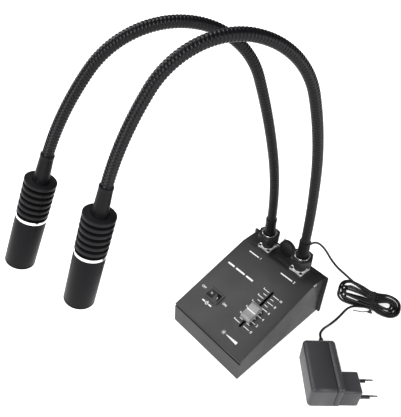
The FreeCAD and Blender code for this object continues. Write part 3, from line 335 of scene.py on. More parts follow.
finishes = {
    "powderCoat": dict(colour=(0.016, 0.016, 0.0165), grain=0.45, patch=30, roughness=0.50, spread=0.08,
                       colourSpread=0.22, dust=0.04, bump=0.30),
    "plateBlack": dict(colour=(0.004, 0.004, 0.0045), grain=0.45, patch=30, roughness=0.42, spread=0.08,
                       colourSpread=0.2, dust=0.02, bump=0.25, specular=0.25),
    "rubberPad": dict(colour=(0.018, 0.018, 0.018), grain=0.8, patch=12, roughness=0.85, bump=0.4),
    "hoseSkin": dict(colour=(0.0025, 0.0025, 0.0038), grain=0.5, patch=9, roughness=0.35, spread=0.05,
                     colourSpread=0.2, dust=0.0, bump=0.02, specular=0.23),
    "softBoot": dict(colour=(0.006, 0.006, 0.007), grain=0.4, patch=8, roughness=0.38, bump=0.08,
                     specular=0.13),
    "nutPlastic": dict(colour=(0.012, 0.012, 0.013), grain=0.3, patch=10, roughness=0.34, bump=0.08),
    # Near black as painted shade: the socket's silver barrel under the nut lies in shadow.
    "threadPaintedShade": dict(colour=(0.008, 0.008, 0.009), grain=0.3, patch=8, roughness=0.45, bump=0.1,
                        specular=0.35),
    "screwBlack": dict(colour=(0.05, 0.05, 0.05), grain=0.2, patch=4, roughness=0.40, metallic=0.7,
                       dust=0.0),
    "switchFrame": dict(colour=(0.04, 0.04, 0.041), grain=0.3, patch=10, roughness=0.42, bump=0.15),
    "capRubber": dict(colour=(0.007, 0.007, 0.0075), grain=0.4, patch=9, roughness=0.55, bump=0.2,
                      specular=0.4),
    "mouldedBlack": dict(colour=(0.012, 0.012, 0.013), grain=0.35, patch=14, roughness=0.48, bump=0.22),
    "adapterShell": dict(colour=(0.048, 0.048, 0.052), grain=0.55, patch=22, roughness=0.38, spread=0.1,
                         dust=0.03, bump=0.25, specular=0.28),
    "cordSkin": dict(colour=(0.005, 0.005, 0.006), grain=0.6, patch=15, roughness=0.36, bump=0.1,
                     specular=0.32),
    "knobGrey": dict(colour=(0.25, 0.25, 0.25), grain=0.3, patch=8, roughness=0.42, bump=0.1, dust=0.0),
    "whiteInk": dict(colour=(0.80, 0.80, 0.79), grain=0.12, patch=3, roughness=0.55, colourSpread=0.12,
                     dust=0.0, bump=0.1),
    "nickel": dict(colour=(0.88, 0.87, 0.85), grain=0.25, patch=5, roughness=0.34, spread=0.12,
                   colourSpread=0.12, dust=0.0, bump=0.05, metallic=0.3),
    "brightSteel": dict(colour=(0.66, 0.66, 0.66), grain=0.2, patch=4, roughness=0.22, spread=0.1,
                        colourSpread=0.1, dust=0.0, bump=0.05, metallic=1.0),
    "castIron": dict(colour=(0.20, 0.20, 0.20), grain=1.2, patch=10, roughness=0.7, bump=0.5, metallic=0.8),
    "boardGreen": dict(colour=(0.02, 0.14, 0.05), grain=0.6, patch=8, roughness=0.4, bump=0.1),
    "turnedBrass": dict(colour=(0.72, 0.55, 0.25), grain=0.3, patch=5, roughness=0.3, metallic=1.0,
                        dust=0.0),
    "ledBoard": dict(colour=(0.75, 0.75, 0.72), grain=0.3, patch=4, roughness=0.45, dust=0.0),
    "clearLens": dict(colour=(0.93, 0.95, 0.96), grain=1.5, patch=6, roughness=0.06, spread=0.03,
                      colourSpread=0.04, dust=0.0, bump=0.0,
                      clear={"Transmission Weight": 0.9, "IOR": 1.49}),
}
finish = {name: grainFinish(name, **values) for name, values in finishes.items()}
turnedFinishes = {
    "Shell": dict(colour=(0.74, 0.73, 0.71), pitch=0.3, roughness=0.22),
    "Anodised": dict(colour=(0.012, 0.012, 0.0135), pitch=0.35, roughness=0.36, spread=0.14,
                     colourSpread=0.3, metallic=0.0, bump=0.25, specular=0.12),
    "Barrel": dict(colour=(0.006, 0.006, 0.0072), pitch=0.5, roughness=0.38, spread=0.1,
                   colourSpread=0.2, metallic=0.0, bump=0.15, specular=0.09),
    "Ring": dict(colour=(0.86, 0.86, 0.86), pitch=0.25, roughness=0.16, spread=0.08, colourSpread=0.1,
                 bump=0.08),
}
print("finishes made")


# Runs a node tree on a piece and keeps only the plain mesh that comes out.
def runTree(piece, tree, name, inputs):
    modifier = piece.modifiers.new(name, "NODES")
    modifier.node_group = tree
    for item in tree.interface.items_tree:
        if item.item_type == "SOCKET" and item.in_out == "INPUT" and item.name in inputs:
            modifier[item.identifier] = inputs[item.name]
    return bakedMesh(piece, name)


# The end of each geometry tree: everything made real, then the skin.
def endTree(tree, given, leave, geometry):
    real = addNode(tree, "GeometryNodeRealizeInstances", {0: geometry})
    skinned = addNode(tree, "GeometryNodeSetMaterial", {
        "Geometry": real.outputs[0], "Material": given["Skin"]})
    tree.links.new(skinned.outputs[0], leave.inputs[0])
    return tree


# Copies of one mesh at even steps.
def makeStackTree():
    tree, given, leave = newGroup("finStack", "GeometryNodeTree", {
        "Geometry": "Geometry", "Count": 6, "Step": (0.0, 0.0, 0.01), "Skin": "Material"},
        {"Geometry": "Geometry"})
    line = addNode(tree, "GeometryNodeMeshLine", mode="OFFSET")
    feed(tree, line, {"Count": given["Count"], "Offset": given["Step"]})
    copies = addNode(tree, "GeometryNodeInstanceOnPoints", {
        "Points": line.outputs[0], "Instance": given["Geometry"]})
    return endTree(tree, given, leave, copies.outputs[0])


stackTree = makeStackTree()


def stacked(name, mesh, count, step, skin):
    return runTree(addMesh(name, mesh), stackTree, name, {"Count": count, "Step": step, "Skin": skin})


boxLooks = {
    "cover": "powderCoat", "chassis": "powderCoat", "rear_plate": "plateBlack", "base_pad": "rubberPad",
    "ballast": "castIron", "driver_board": "boardGreen", "board_spacers": "turnedBrass",
    "fader_body": "mouldedBlack", "fader_lever": "brightSteel", "switch_body": "switchFrame",
    "switch_rocker": "mouldedBlack", "dc_jack": "mouldedBlack", "case_screws": "brightSteel",
    "socket_screws": "screwBlack", "cap_chain": "brightSteel", "hank_tie": "mouldedBlack",
    "dust_cap": "capRubber", "left_socket": "nickel", "right_socket": "nickel",
    "dc_plug": "mouldedBlack", "adapter_relief": "mouldedBlack", "fader_knob": "knobGrey",
}
movingBody = {"fader_lever": "fader", "fader_knob": "fader", "switch_rocker": "rocker"}
for node, skin in boxLooks.items():
    dressedCopy(node, finish[skin], movingBody.get(node, "box"))

# The adapter's two shells are eased apart at their rims, so that the seam shows.
adapter = {"x": 80.4, "y": 2.9, "heading": -42.5, "bodyRim": 27.25, "coverRim": 27.5, "bodyEase": -0.3,
           "coverEase": 0.45, "rimReach": 0.02, "sleeveEnd": 63.5}
adapterTurn = math.radians(adapter["heading"])
adapterAcross = Vector((-math.sin(adapterTurn), math.cos(adapterTurn), 0))
adapterCorner = Vector((adapter["x"], adapter["y"], 0)) * mm
for shell in ("body", "cover"):
    piece = dressedCopy("adapter_" + shell, finish["adapterShell"], "box")
    for v in piece.data.vertices:
        distance = (v.co - adapterCorner).dot(adapterAcross) - adapter[shell + "Rim"] * mm
        if abs(distance) < adapter["rimReach"] * mm:
            v.co += adapterAcross * adapter[shell + "Ease"] * mm
twoToneCopy("mains_pins", finish["mouldedBlack"], finish["brightSteel"], "box",
            adapterCorner + adapterAcross * adapter["sleeveEnd"] * mm, adapterAcross)

# A bright steel block in the small notch at the end of the shelf's fold: partly bare metal, partly a
# painted highlight where the bent edge catches the light.
notch = {"low": (53.0, 49.6, 62.6), "high": (54.14, 56.6, 64.18), "bevel": 0.3}


def softBox(name, low, high, bevel):
    low, high = Vector(low) * mm, Vector(high) * mm
    bm = bmesh.new()
    bmesh.ops.create_cube(bm, size=1.0, matrix=Matrix.LocRotScale((low + high) / 2, None, high - low))
    bmesh.ops.bevel(bm, geom=bm.edges[:], offset=bevel * mm, segments=2, profile=0.5, affect="EDGES")
    return meshFromBm(bm, name)


settle(addMesh("fold_notch_highlight", softBox("fold_notch_highlight", **notch), [finish["brightSteel"]]), "box")
print("box dressed")

# Print on the sloping panel: x runs across it and s up it, in millimetres from its lower edge.
panel = {"frontY": -70.2, "frontZ": 32.3, "slope": 15.57, "inkHeight": 0.05, "inkSink": 0.03,
         "capShare": 0.7, "swell": 0.07, "ringSteps": 40, "slotX": 24.5, "lowest": 33.3, "step": 10.0,
         "longTick": (3.0, 11.5), "shortTick": (3.0, 7.6), "serif": 1.5, "tickWidth": 0.75,
         "numberX": 14.3, "numberHeight": 3.0, "tenShare": 0.85}
slope = math.radians(panel["slope"])
panelPlace = Matrix(((1, 0, 0, 0),
                     (0, math.cos(slope), -math.sin(slope), panel["frontY"] * mm),
                     (0, math.sin(slope), math.cos(slope), panel["frontZ"] * mm),
                     (0, 0, 0, 1)))
inkLow, inkHigh = -panel["inkSink"], panel["inkHeight"]


# A thin closed slab with the given (x, s) outline.
def inkOutline(points, low=inkLow, high=inkHigh):
    bm = bmesh.new()
    under, over = [[bm.verts.new(Vector((x, y, z)) * mm) for x, y in points] for z in (low, high)]
    bm.faces.new(over)
    bm.faces.new(under[::-1])
    bridge(bm, [(under, over)])
    return meshFromBm(bm, "ink")


def inkBar(x0, x1, y0, y1, low=inkLow, high=inkHigh):
    return inkOutline([(x0, y0), (x1, y0), (x1, y1), (x0, y1)], low, high)


def inkRing(x, y, outer, inner, fromDegrees=0.0, toDegrees=360.0):
    steps = panel["ringSteps"]
    closed = toDegrees - fromDegrees == 360
    bm = bmesh.new()
    rows = []
    for k in range(steps if closed else steps + 1):
        a = math.radians(fromDegrees + (toDegrees - fromDegrees) * k / steps)
        rows.append([bm.verts.new((Vector((x, y, 0)) + polar(r, a, z)) * mm) for r, z in
                     ((inner, inkLow), (outer, inkLow), (outer, inkHigh), (inner, inkHigh))])
    if closed:
        rows.append(rows[0])
    else:
        bm.faces.new(rows[0])
        bm.faces.new(rows[-1][::-1])
    bridge(bm, zip(rows, rows[1:]))
    return meshFromBm(bm, "ink")


# Plain lettering in the built-in face, as a thin closed slab.
def inkText(text, height, x, y):
    letters = bpy.data.curves.new("letters", "FONT")
    letters.body = text
    letters.size = height * mm / panel["capShare"]
    letters.align_x = "CENTER"
    letters.align_y = "CENTER"
    letters.extrude = (inkHigh - inkLow) * mm / 2
    letters.offset = panel["swell"] * mm
    letters.resolution_u = 3
    holder = bpy.data.objects.new("letters", letters)
    work.objects.link(holder)
    mesh = bakedMesh(holder, "letters")
    mesh.transform(Matrix.Translation(Vector((x, y, (inkHigh + inkLow) / 2)) * mm))
    return mesh


def settleInk(name, meshes, body="box", place=panelPlace):
    mesh = joinMeshes(name, meshes)
    mesh.transform(place)
    return settle(addMesh(name, mesh, [finish["whiteInk"]]), body)


# Six long ticks and five short ones on both sides of the slot, numbers on the right.
slotX, lowest, halfTick = panel["slotX"], panel["lowest"], panel["tickWidth"] / 2
ticks = []
for way in (-1, 1):
    for count, first, reach, serif in (
            (6, lowest, panel["longTick"], panel["serif"]),
            (5, lowest + panel["step"] / 2, panel["shortTick"], 0.0)):
        near, far = (slotX + way * part for part in reach)
        strokes = [inkBar(*sorted((near, far)), first - halfTick, first + halfTick)]
        if serif and way < 0:
            strokes.append(inkBar(far - halfTick, far + halfTick, first - halfTick, first + serif))
        ticks.append(stacked("ticks", joinMeshes("tick", strokes), count, (0, panel["step"] * mm, 0),
                             finish["whiteInk"]))
numbers = [inkText(str(2 * k), panel["numberHeight"] * (panel["tenShare"] if k == 5 else 1.0),
                   slotX + panel["numberX"], lowest + panel["step"] * k) for k in range(6)]
settleInk("scale_marks", ticks + numbers)

# A small sun with a wedge that widens for more light.
sun = {"x": 16.0, "s": 13.2, "outer": 1.25, "inner": 0.65, "rays": 8, "ray": (1.7, 2.6, -0.22, 0.22),
       "wedge": [(20.5, 12.7), (36.5, 11.5), (36.5, 14.9), (20.5, 13.6)]}
brightness = [inkRing(sun["x"], sun["s"], sun["outer"], sun["inner"])]
for k in range(sun["rays"]):
    ray = inkBar(*sun["ray"])
    ray.transform(Matrix.Translation(Vector((sun["x"], sun["s"], 0)) * mm)
                  @ Matrix.Rotation(2 * math.pi * k / sun["rays"], 4, "Z"))
    brightness.append(ray)
settleInk("brightness_marks", brightness + [inkOutline(sun["wedge"])])

# The power sign between two dashes, and the rocker's words.
power = {"x": -25.0, "s": 25.3, "outer": 2.1, "inner": 1.3, "gapFrom": 120, "gapTo": 420, "barHalf": 0.42,
         "bar": (0.2, 2.7), "dashes": ((-7.5, -3.1), (3.1, 7.5)), "dashHalf": 0.85,
         "words": (("OFF", 2.7, -43.0, 38.2), ("ON", 2.7, -7.3, 37.7))}
x, s = power["x"], power["s"]
signs = [inkRing(x, s, power["outer"], power["inner"], power["gapFrom"], power["gapTo"]),
         inkBar(x - power["barHalf"], x + power["barHalf"], s + power["bar"][0], s + power["bar"][1])]
for near, far in power["dashes"]:
    signs.append(inkBar(x + near, x + far, s - power["dashHalf"], s + power["dashHalf"]))
settleInk("power_marks", signs + [inkText(*word) for word in power["words"]])

# Plain bars where words stand on the panel, each as (from x, to x, from s, to s).
titleBars = [(-44.8, -34.4, 80.9, 83.1), (-31.6, -17.2, 80.9, 83.1), (-14.6, -3.8, 80.9, 83.1)]
socketMarks = {"left": ((-36.0, -20.6, 110.2, 111.6), ("1", 3.0, -17.6, 111.0)),
               "right": ((14.0, 31.4, 111.2, 112.6), ("2", 3.0, 34.4, 112.0))}
settleInk("title_rule", [inkBar(*edges) for edges in titleBars])
for name, (edges, digit) in socketMarks.items():
    settleInk(name + "_socket_marks", [inkBar(*edges), inkText(*digit)])

knobTop = {"s": 50.3, "wide": 0.62, "low": 7.12, "high": 7.42, "half": 6.21}
index = inkBar(slotX - knobTop["half"], slotX + knobTop["half"], knobTop["s"] - knobTop["wide"],
               knobTop["s"] + knobTop["wide"], knobTop["low"], knobTop["high"])
settleInk("knob_line", [index], "fader")

# The rocker's ring and bar lie on its two facets.
rocker = {"x": -24.5, "s": 37.8, "pivot": -2.0, "tilt": 10.0, "rise": 4.4, "valley": 3.2, "reach": 7.6,
          "markAt": 4.6, "ring": (1.15, 0.75), "bar": (-0.25, 0.25, -1.1, 1.1)}
climb = rocker["rise"] - rocker["valley"]
rockerPlace = (panelPlace @ Matrix.Translation(Vector((rocker["x"], rocker["s"], rocker["pivot"])) * mm)
               @ Matrix.Rotation(math.radians(rocker["tilt"]), 4, "Y"))
for way, name, sign in ((-1, "rocker_ring", inkRing(0, 0, *rocker["ring"])),
                        (1, "rocker_bar", inkBar(*rocker["bar"]))):
    lift = rocker["valley"] + climb * rocker["markAt"] / rocker["reach"]
    facet = math.atan2(climb, rocker["reach"]) * -way
    spot = Matrix.Translation(Vector((way * rocker["markAt"], 0, lift)) * mm)
    settleInk(name, [sign], "rocker", rockerPlace @ spot @ Matrix.Rotation(facet, 4, "Y"))
print("marks printed")

# Arms: distances are in millimetres from the joint above the boot, turns in degrees per section.
arm = {
    "sectionLength": 94.0, "sections": 5, "socketX": 25.5, "socketY": 58.0, "shelf": 64.1,
    "bootTop": 46.6, "jointGap": 1.3, "crest": 5.45, "root": 4.75, "ribPitch": 3.1, "ribPower": 0.55,
    "ribStep": 0.36, "sides": 28, "ribSmooth": 120, "intoBoot": 6.0, "intoHead": 4.0,
    "bendReach": 40.0, "headBoot": 20.0,
    "heading": {1: 251.0, -1: 246.1},
    "turns": {1: (5.7, 12.9, 55.0, 70.4, 17.6), -1: (11.9, 6.9, 60.8, 59.7, 18.0)},
}
neckLength = arm["sectionLength"] * arm["sections"]
sideName = {1: "right", -1: "left"}


# Place on the neck's centreline: X is the arm's sideways axis, Z runs along it.
def neckFrame(side, distance):
    heading = math.radians(arm["heading"][side])
    lean = Vector((math.cos(heading), math.sin(heading), 0))
    up = Vector((0, 0, 1))
    sideways = up.cross(lean)
    reach = angle = 0.0
    height, left = min(distance, 0.0), max(distance, 0.0)
    for turn in arm["turns"][side]:
        curve = math.radians(turn) / arm["sectionLength"]
        span = min(left, arm["sectionLength"])
        reach += (math.cos(angle) - math.cos(angle + curve * span)) / curve
        height += (math.sin(angle + curve * span) - math.sin(angle)) / curve
        angle += curve * span
        left -= span
    reach += math.sin(angle) * left
    height += math.cos(angle) * left
    along = lean * math.sin(angle) + up * math.cos(angle)
    start = Vector((side * arm["socketX"], arm["socketY"], arm["shelf"] + arm["bootTop"] + arm["jointGap"]))
    place = Matrix((sideways, along.cross(sideways), along)).transposed().to_4x4()
    place.translation = (start + lean * reach + up * height) * mm
    return place


# Bakes a piece's placement into its mesh. The points either side of the joint at the end of a section are
# worked out, but nothing uses them.
def bendOver(piece, side, section):
    last = section == arm["sections"]
    name, joint = sideName[side], arm["sectionLength"] * section
    reach = arm["bendReach"] / 2 if last else arm["bendReach"]
    neckFrame(side, joint - reach).translation
    neckFrame(side, joint + reach).translation
    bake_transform(piece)


def capture(tree, geometry, fields):
    node = addNode(tree, "GeometryNodeCaptureAttribute", domain="POINT")
    for label, (kind, value) in fields.items():
        node.capture_items.new(kind, label)
        tree.links.new(value, node.inputs[label])
    tree.links.new(geometry, node.inputs["Geometry"])
    return node.outputs


# Round tube along a curve with a rib that winds round it. Its phase counts from the arm's start.
def makeHoseTree():
    tree, given, leave = newGroup("woundHose", "GeometryNodeTree", {
        "Geometry": "Geometry", "Start": 0.0, "Rib Pitch": 0.0041, "Rib Power": 0.55,
        "Crest Radius": 0.0056, "Root Radius": 0.005, "Step": 0.0004, "Sides": 24,
        "Sideways": (1.0, 0.0, 0.0), "Skin": "Material"}, {"Geometry": "Geometry"})

    even = addNode(tree, "GeometryNodeResampleCurve", mode="LENGTH")
    feed(tree, even, {"Curve": given["Geometry"], "Length": given["Step"]})
    facing = addNode(tree, "GeometryNodeSetCurveNormal", mode="FREE")
    feed(tree, facing, {"Curve": even.outputs[0], "Normal": given["Sideways"]})
    circle = addNode(tree, "GeometryNodeCurvePrimitiveCircle", {
        "Resolution": given["Sides"], "Radius": given["Crest Radius"]})
    parameter = addNode(tree, "GeometryNodeSplineParameter").outputs
    position = addNode(tree, "GeometryNodeInputPosition").outputs[0]
    path = capture(tree, facing.outputs[0], {
        "Length": ("FLOAT", parameter["Length"]), "Centre": ("VECTOR", position)})
    rim = capture(tree, circle.outputs["Curve"], {"Turn": ("FLOAT", parameter["Factor"])})
    sweep = addNode(tree, "GeometryNodeCurveToMesh", {
        "Curve": path["Geometry"], "Profile Curve": rim["Geometry"], "Fill Caps": True})
    along = mathNode(tree, "ADD", path["Length"], given["Start"])
    phase = mathNode(tree, "ADD", mathNode(tree, "DIVIDE", along, given["Rib Pitch"]), rim["Turn"])
    wave = mathNode(tree, "MULTIPLY", mathNode(tree, "FRACT", phase), math.pi)
    full = mathNode(tree, "POWER", mathNode(tree, "SINE", wave), given["Rib Power"])
    depth = mathNode(tree, "SUBTRACT", given["Crest Radius"], given["Root Radius"])
    radius = plusProduct(tree, given["Root Radius"], depth, full)
    share = mathNode(tree, "DIVIDE", radius, given["Crest Radius"])
    away = vectorNode(tree, "SUBTRACT", {0: position, 1: path["Centre"]})[0]
    grown = vectorNode(tree, "SCALE", {0: away, "Scale": share})[0]
    placed = vectorNode(tree, "ADD", {0: path["Centre"], 1: grown})[0]
    ribbed = addNode(tree, "GeometryNodeSetPosition", {"Geometry": sweep.outputs[0], "Position": placed})
    return endTree(tree, given, leave, ribbed.outputs[0])


hoseTree = makeHoseTree()


# One stretch of hose between two distances along the arm.
def hosePiece(side, name, start, end):
    curve = bpy.data.curves.new(name + "Path", "CURVE")
    curve.dimensions = "3D"
    spline = curve.splines.new("POLY")
    count = max(3, int(end - start))
    spline.points.add(count)
    for i, point in enumerate(spline.points):
        point.co = (*neckFrame(side, start + (end - start) * i / count).translation, 1)
    guide = bpy.data.objects.new(name + "Guide", curve)
    work.objects.link(guide)
    mesh = runTree(guide, hoseTree, name, {
        "Start": start * mm, "Rib Pitch": arm["ribPitch"] * mm, "Rib Power": arm["ribPower"],
        "Crest Radius": arm["crest"] * mm, "Root Radius": arm["root"] * mm, "Step": arm["ribStep"] * mm,
        "Sides": arm["sides"], "Sideways": neckFrame(side, start).col[0].to_3d(),
        "Skin": finish["hoseSkin"]})
    smoothByAngle(mesh, arm["ribSmooth"])
    return addMesh(name, mesh)


# The hose is cut in the middle of each section, so that every joint lies inside one piece.
for side in (-1, 1):
    name = sideName[side]
    cuts = [arm["sectionLength"] * (k + 0.5) for k in range(arm["sections"])]
    cuts = [-arm["intoBoot"]] + cuts + [neckLength + arm["intoHead"]]
    for k in range(arm["sections"] + 1):
        piece = hosePiece(side, f"{name}_hose_{k + 1}", cuts[k], cuts[k + 1])
        if k == 0:
            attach(piece, f"{name}_section_1")
        else:
            bendOver(piece, side, k)
        if k < arm["sections"]:
            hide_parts(f"{name}_neck_{k + 1}")
print("hoses wound")

# Connectors, in millimetres above the shelf. The nut's chamfer is (height, cut off the corner).
connector = {
    "plugShell": 9.2, "plugRim": 8.0, "plugTop": 24.7, "collar": 10.2, "collarFoot": 15.8,
    "collarTop": 17.8, "spigot": 5.9, "spigotFoot": 9.0, "cupFloor": 19.8, "cable": 1.5,
    "nutFlats": 24.6, "nutFoot": 13.8, "nutTop": 22.8, "nutRun": 9.3, "nutChamber": 10.5,
    "nutThread": 7.75, "chamberFoot": 15.5, "chamberTop": 17.9,
    "nutChamfer": [(0.0, 1.6), (0.5, 0.6625), (1.3, -0.025)], "nutSides": 96, "nutSmooth": 24,
    "bootFoot": 6.75, "bootNeck": 6.3, "bootLip": 0.35, "bootBore": 4.9, "bootTop": 46.6,
    "threadFoot": 2.6, "threadTop": 15.6, "threadPitch": 1.0, "threadCrest": 7.62, "threadRoot": 7.2,
    "threadSmooth": 50,
}
c = connector


# Hexagonal nut with chamfered corners and a plain running bore.
def hexNut(name, place):
    flats, low, high = c["nutFlats"] / 2, c["nutFoot"], c["nutTop"]
    corner = flats / math.cos(math.radians(30))
    outside = [(low + z, cut) for z, cut in c["nutChamfer"]]
    outside += [(high - z, cut) for z, cut in reversed(c["nutChamfer"])]
    bore = [(high, c["nutRun"] + 0.45), (high - 0.5, c["nutRun"]), (c["chamberTop"] + 0.9, c["nutRun"]),
            (c["chamberTop"], c["nutChamber"]), (c["chamberFoot"], c["nutChamber"]),
            (c["chamberFoot"], c["nutThread"]), (low, c["nutThread"])]
    angles = [2 * math.pi * k / c["nutSides"] for k in range(c["nutSides"])]
    hexRadius = [flats / math.cos((a % math.radians(60)) - math.radians(30)) for a in angles]
    bm = bmesh.new()
    rings = [[bm.verts.new(place @ (polar(min(r, corner - cut), a, z) * mm))
              for r, a in zip(hexRadius, angles)] for z, cut in outside]
    rings += [[bm.verts.new(place @ (polar(r, a, z) * mm)) for a in angles] for z, r in bore]
    bridge(bm, zip(rings, rings[1:] + rings[:1]))
    return meshFromBm(bm, name, c["nutSmooth"])


for side in (-1, 1):
    name = sideName[side]
    place = Matrix.Translation(Vector((side * arm["socketX"], arm["socketY"], arm["shelf"])) * mm)
    shell = lathe(name + "_plug_look", [
        (c["cable"], c["spigotFoot"], 0), (c["spigot"], c["spigotFoot"], 0.3),
        (c["spigot"], c["collarFoot"], 0.1), (c["collar"], c["collarFoot"], 0.2),
        (c["collar"], c["collarTop"], 0.3), (c["plugShell"], c["collarTop"], 0.2),
        (c["plugShell"], c["plugTop"], 0.5), (c["plugRim"], c["plugTop"], 0.45),
        (c["plugRim"], c["cupFloor"], 0.4), (c["cable"], c["cupFloor"], 0)], 96, place)
    skin = turnedFinish(name + "Shell", place, **turnedFinishes["Shell"])
    dress(name + "_plug", shell, skin, name + "_connector")
    dress(name + "_coupling_nut", hexNut(name + "_nut", place), finish["nutPlastic"], name + "_nut")
    foot, lip = c["bootFoot"], c["bootNeck"] + c["bootLip"]
    boot = lathe(name + "_cable_boot_look", [
        (c["bootBore"], c["cupFloor"], 0), (foot, c["cupFloor"], 0.2), (foot, c["plugTop"] - 0.3, 0.4),
        (foot - 0.1, 30.0, 0), (c["bootNeck"] + 0.1, 44.0, 0.2), (lip, 44.6, 0.2),
        (lip, c["bootTop"] + 0.1, 0.9), (5.7, c["bootTop"] + 0.1, 0.2),
        (c["bootBore"], c["bootTop"] - 1.5, 0)], 72, place)
    dress(name + "_cable_boot", boot, finish["softBoot"], name + "_connector")
    # The socket's threaded barrel in near black is painted shade: the real barrel is silver like the
    # flange, and dark here only where the nut shades it.
    root, crest, pitch = c["threadRoot"], c["threadCrest"], c["threadPitch"]
    ridges = [(root - 0.2, c["threadFoot"], 0)]
    for k in range(int((c["threadTop"] - c["threadFoot"]) / pitch)):
        at = c["threadFoot"] + k * pitch
        ridges += [(root + 0.2, at, 0.05), (crest, at + pitch / 2, 0.12)]
    ridges += [(root + 0.2, c["threadTop"], 0.05), (root - 0.2, c["threadTop"], 0)]
    thread = lathe(name + "_socket_thread", ridges, 64, place, 2, c["threadSmooth"])
    settle(addMesh(name + "_socket_thread", thread, [finish["threadPaintedShade"]]), "box")
print("connectors dressed")

# Lamp heads, in millimetres from the foot of the heat sink.
head = {
    "finRadius": 14.9, "fins": 6, "finStart": 1.5, "finPitch": 6.65, "finThick": 3.5, "core": 9.8,
    "recess": 7.6, "recessDepth": 4.0, "wireBore": 1.3, "ledSeat": 7.0, "gap": 0.02,
    "trimLength": 3.3, "trimRadius": 14.95, "barrelRadius": 14.8, "bore": 13.3, "shoulder": 0.35,
    "groove": 0.14, "lipRadius": 12.0, "lipDepth": 1.6, "length": 103.64,
    "lensThick": 2.35, "lensSeat": 4.0, "lensCrown": 4.2, "lensRings": 12,
    "bootReach": 27.0, "bootTop": 6.15, "bootFoot": 7.35,
}
h = head


# A lens with a flat outer face and a domed inner one.
def lensProfile(rim, seat):
    crown = h["lensCrown"]
    bulge = (rim * rim + crown * crown) / (2 * crown)
    dome = []
    for i in range(h["lensRings"] + 1):
        r = rim * i / h["lensRings"]
        dome.append((r, seat - crown + bulge - math.sqrt(bulge * bulge - r * r), 0))
    return dome + [(rim, seat + h["lensThick"], 0.2), (0.0, seat + h["lensThick"], 0)]


for side in (-1, 1):
    name = sideName[side]
    body = name + "_head"
    place = neckFrame(side, neckLength + arm["headBoot"])
    skins = {kind: turnedFinish(name + kind, place, **turnedFinishes[kind])
             for kind in ("Anodised", "Barrel", "Ring")}
    start, total = h["finStart"], h["length"]
    finned = start + h["fins"] * h["finPitch"]
    top = finned + h["trimLength"]
    bottom, flush = h["core"] - 0.6, start - h["gap"]
    fin = lathe("fin", [(bottom, start, 0), (h["finRadius"], start, 0.6),
                        (h["finRadius"], start + h["finThick"], 0.6), (bottom, start + h["finThick"], 0)])
    fins = stacked("fins", fin, h["fins"], (0, 0, h["finPitch"] * mm), skins["Anodised"])
    core = lathe("core", [
        (h["wireBore"], h["recessDepth"], 0), (h["recess"], h["recessDepth"], 0.3),
        (h["recess"], flush, 0.35), (h["core"], flush, 0.1), (h["core"], finned, 0.3),
        (h["bore"] - 0.1, finned, 0.2), (h["bore"] - 0.1, top + h["ledSeat"], 0.3),
        (h["wireBore"], top + h["ledSeat"], 0)])
    sink = joinMeshes(name + "_heat_sink_look", [fins, core])
    sink.transform(place)
    dress(name + "_heat_sink", sink, skins["Anodised"], body)
    ring = lathe(name + "_trim_look", [
        (h["bore"], finned, 0), (h["trimRadius"], finned, 0.45), (h["trimRadius"], top, 0.45),
        (h["bore"], top, 0)], 128, place)
    dress(name + "_trim_ring", ring, skins["Ring"], body, name + "_trim_look")
    wide, neck, cut = h["barrelRadius"], h["barrelRadius"] - h["shoulder"], h["barrelRadius"] - h["groove"]
    tube = lathe(name + "_barrel_look", [
        (h["bore"], top + 0.1, 0), (neck, top + 0.1, 0.15), (neck, top + 0.5, 0.1), (wide, top + 0.7, 0.3),
        (wide, total - 4.2, 0.05), (cut, total - 4.0, 0.05), (cut, total - 3.6, 0.05),
        (wide, total - 3.4, 0.05), (wide, total - 0.9, 0.2), (wide - 0.9, total, 0.2),
        (h["lipRadius"], total, 0.25), (h["lipRadius"], total - h["lipDepth"], 0.1),
        (h["bore"], total - h["lipDepth"], 0.1)], 128, place)
    dress(name + "_barrel", tube, skins["Barrel"], body)
    tip, reach, foot, floor = h["bootTop"], -h["bootReach"], h["bootFoot"], h["recessDepth"] - h["gap"]
    boot = lathe(name + "_head_boot_look", [
        (5.3, reach + 0.6, 0), (5.6, reach, 0.2), (tip + 0.15, reach, 0.6), (tip + 0.25, reach + 2.2, 0.4),
        (tip, reach + 3.0, 0.4), (foot - 0.25, -1.0, 0.6), (foot, start, 0.2), (foot, floor, 0),
        (h["wireBore"], floor, 0), (h["wireBore"], 0, 0), (3.5, 0, 0)], 72, place)
    piece = addMesh(name + "_head_boot_look", boot, [finish["softBoot"]])
    bendOver(piece, side, arm["sections"])
    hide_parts(name + "_head_boot")
    lens = lathe(name + "_lens_look", lensProfile(h["bore"] - 0.1, total - h["lensSeat"]), 96, place)
    dress(name + "_lens", lens, finish["clearLens"], body)
    dressedCopy(name + "_led_module", finish["ledBoard"], body, name + "_led_look")
print("heads turned")

# The cord: given points from the jack to the bench, the hank's loops, and on to the adapter.
cordValues = {"diameter": 3.0, "length": 1.274, "heading": 23.0, "x": 94.3, "y": 134.2, "left": 23.0,
              "right": 17.0, "lanes": 14, "step": 1.95, "inner": 5.0, "climb": 6, "draw": 4.2, "rise": 3.5,
              "floor": 2.15, "stagger": 2.6, "calmShare": 0.45, "waves": (1.9, 2.3), "turnSwell": 1.06,
              "turnDegrees": (30, 62), "easing": 0.33, "waist": 0.92, "runIn": 0.44, "middle": 0.3,
              "runOut": 0.66,
              "lobes": {("lower", -1): (-4.0, -2.0), ("upper", -1): (-4.5, 3.5), ("lower", 1): (0.0, 2.5),
                        ("upper", 1): (-0.5, -1.0)}}
leadPoints = [
    (-4.5, 109.95, 40.0), (-4.5, 123.0, 41.5), (-2.0, 137.0, 36.5), (6.5, 146.0, 23.5), (17.5, 149.0, 9.0),
    (29.5, 148.6, 3.4), (42.5, 147.6, 1.9), (55.0, 145.6, 1.75), (67.5, 142.6, 2.15),
]
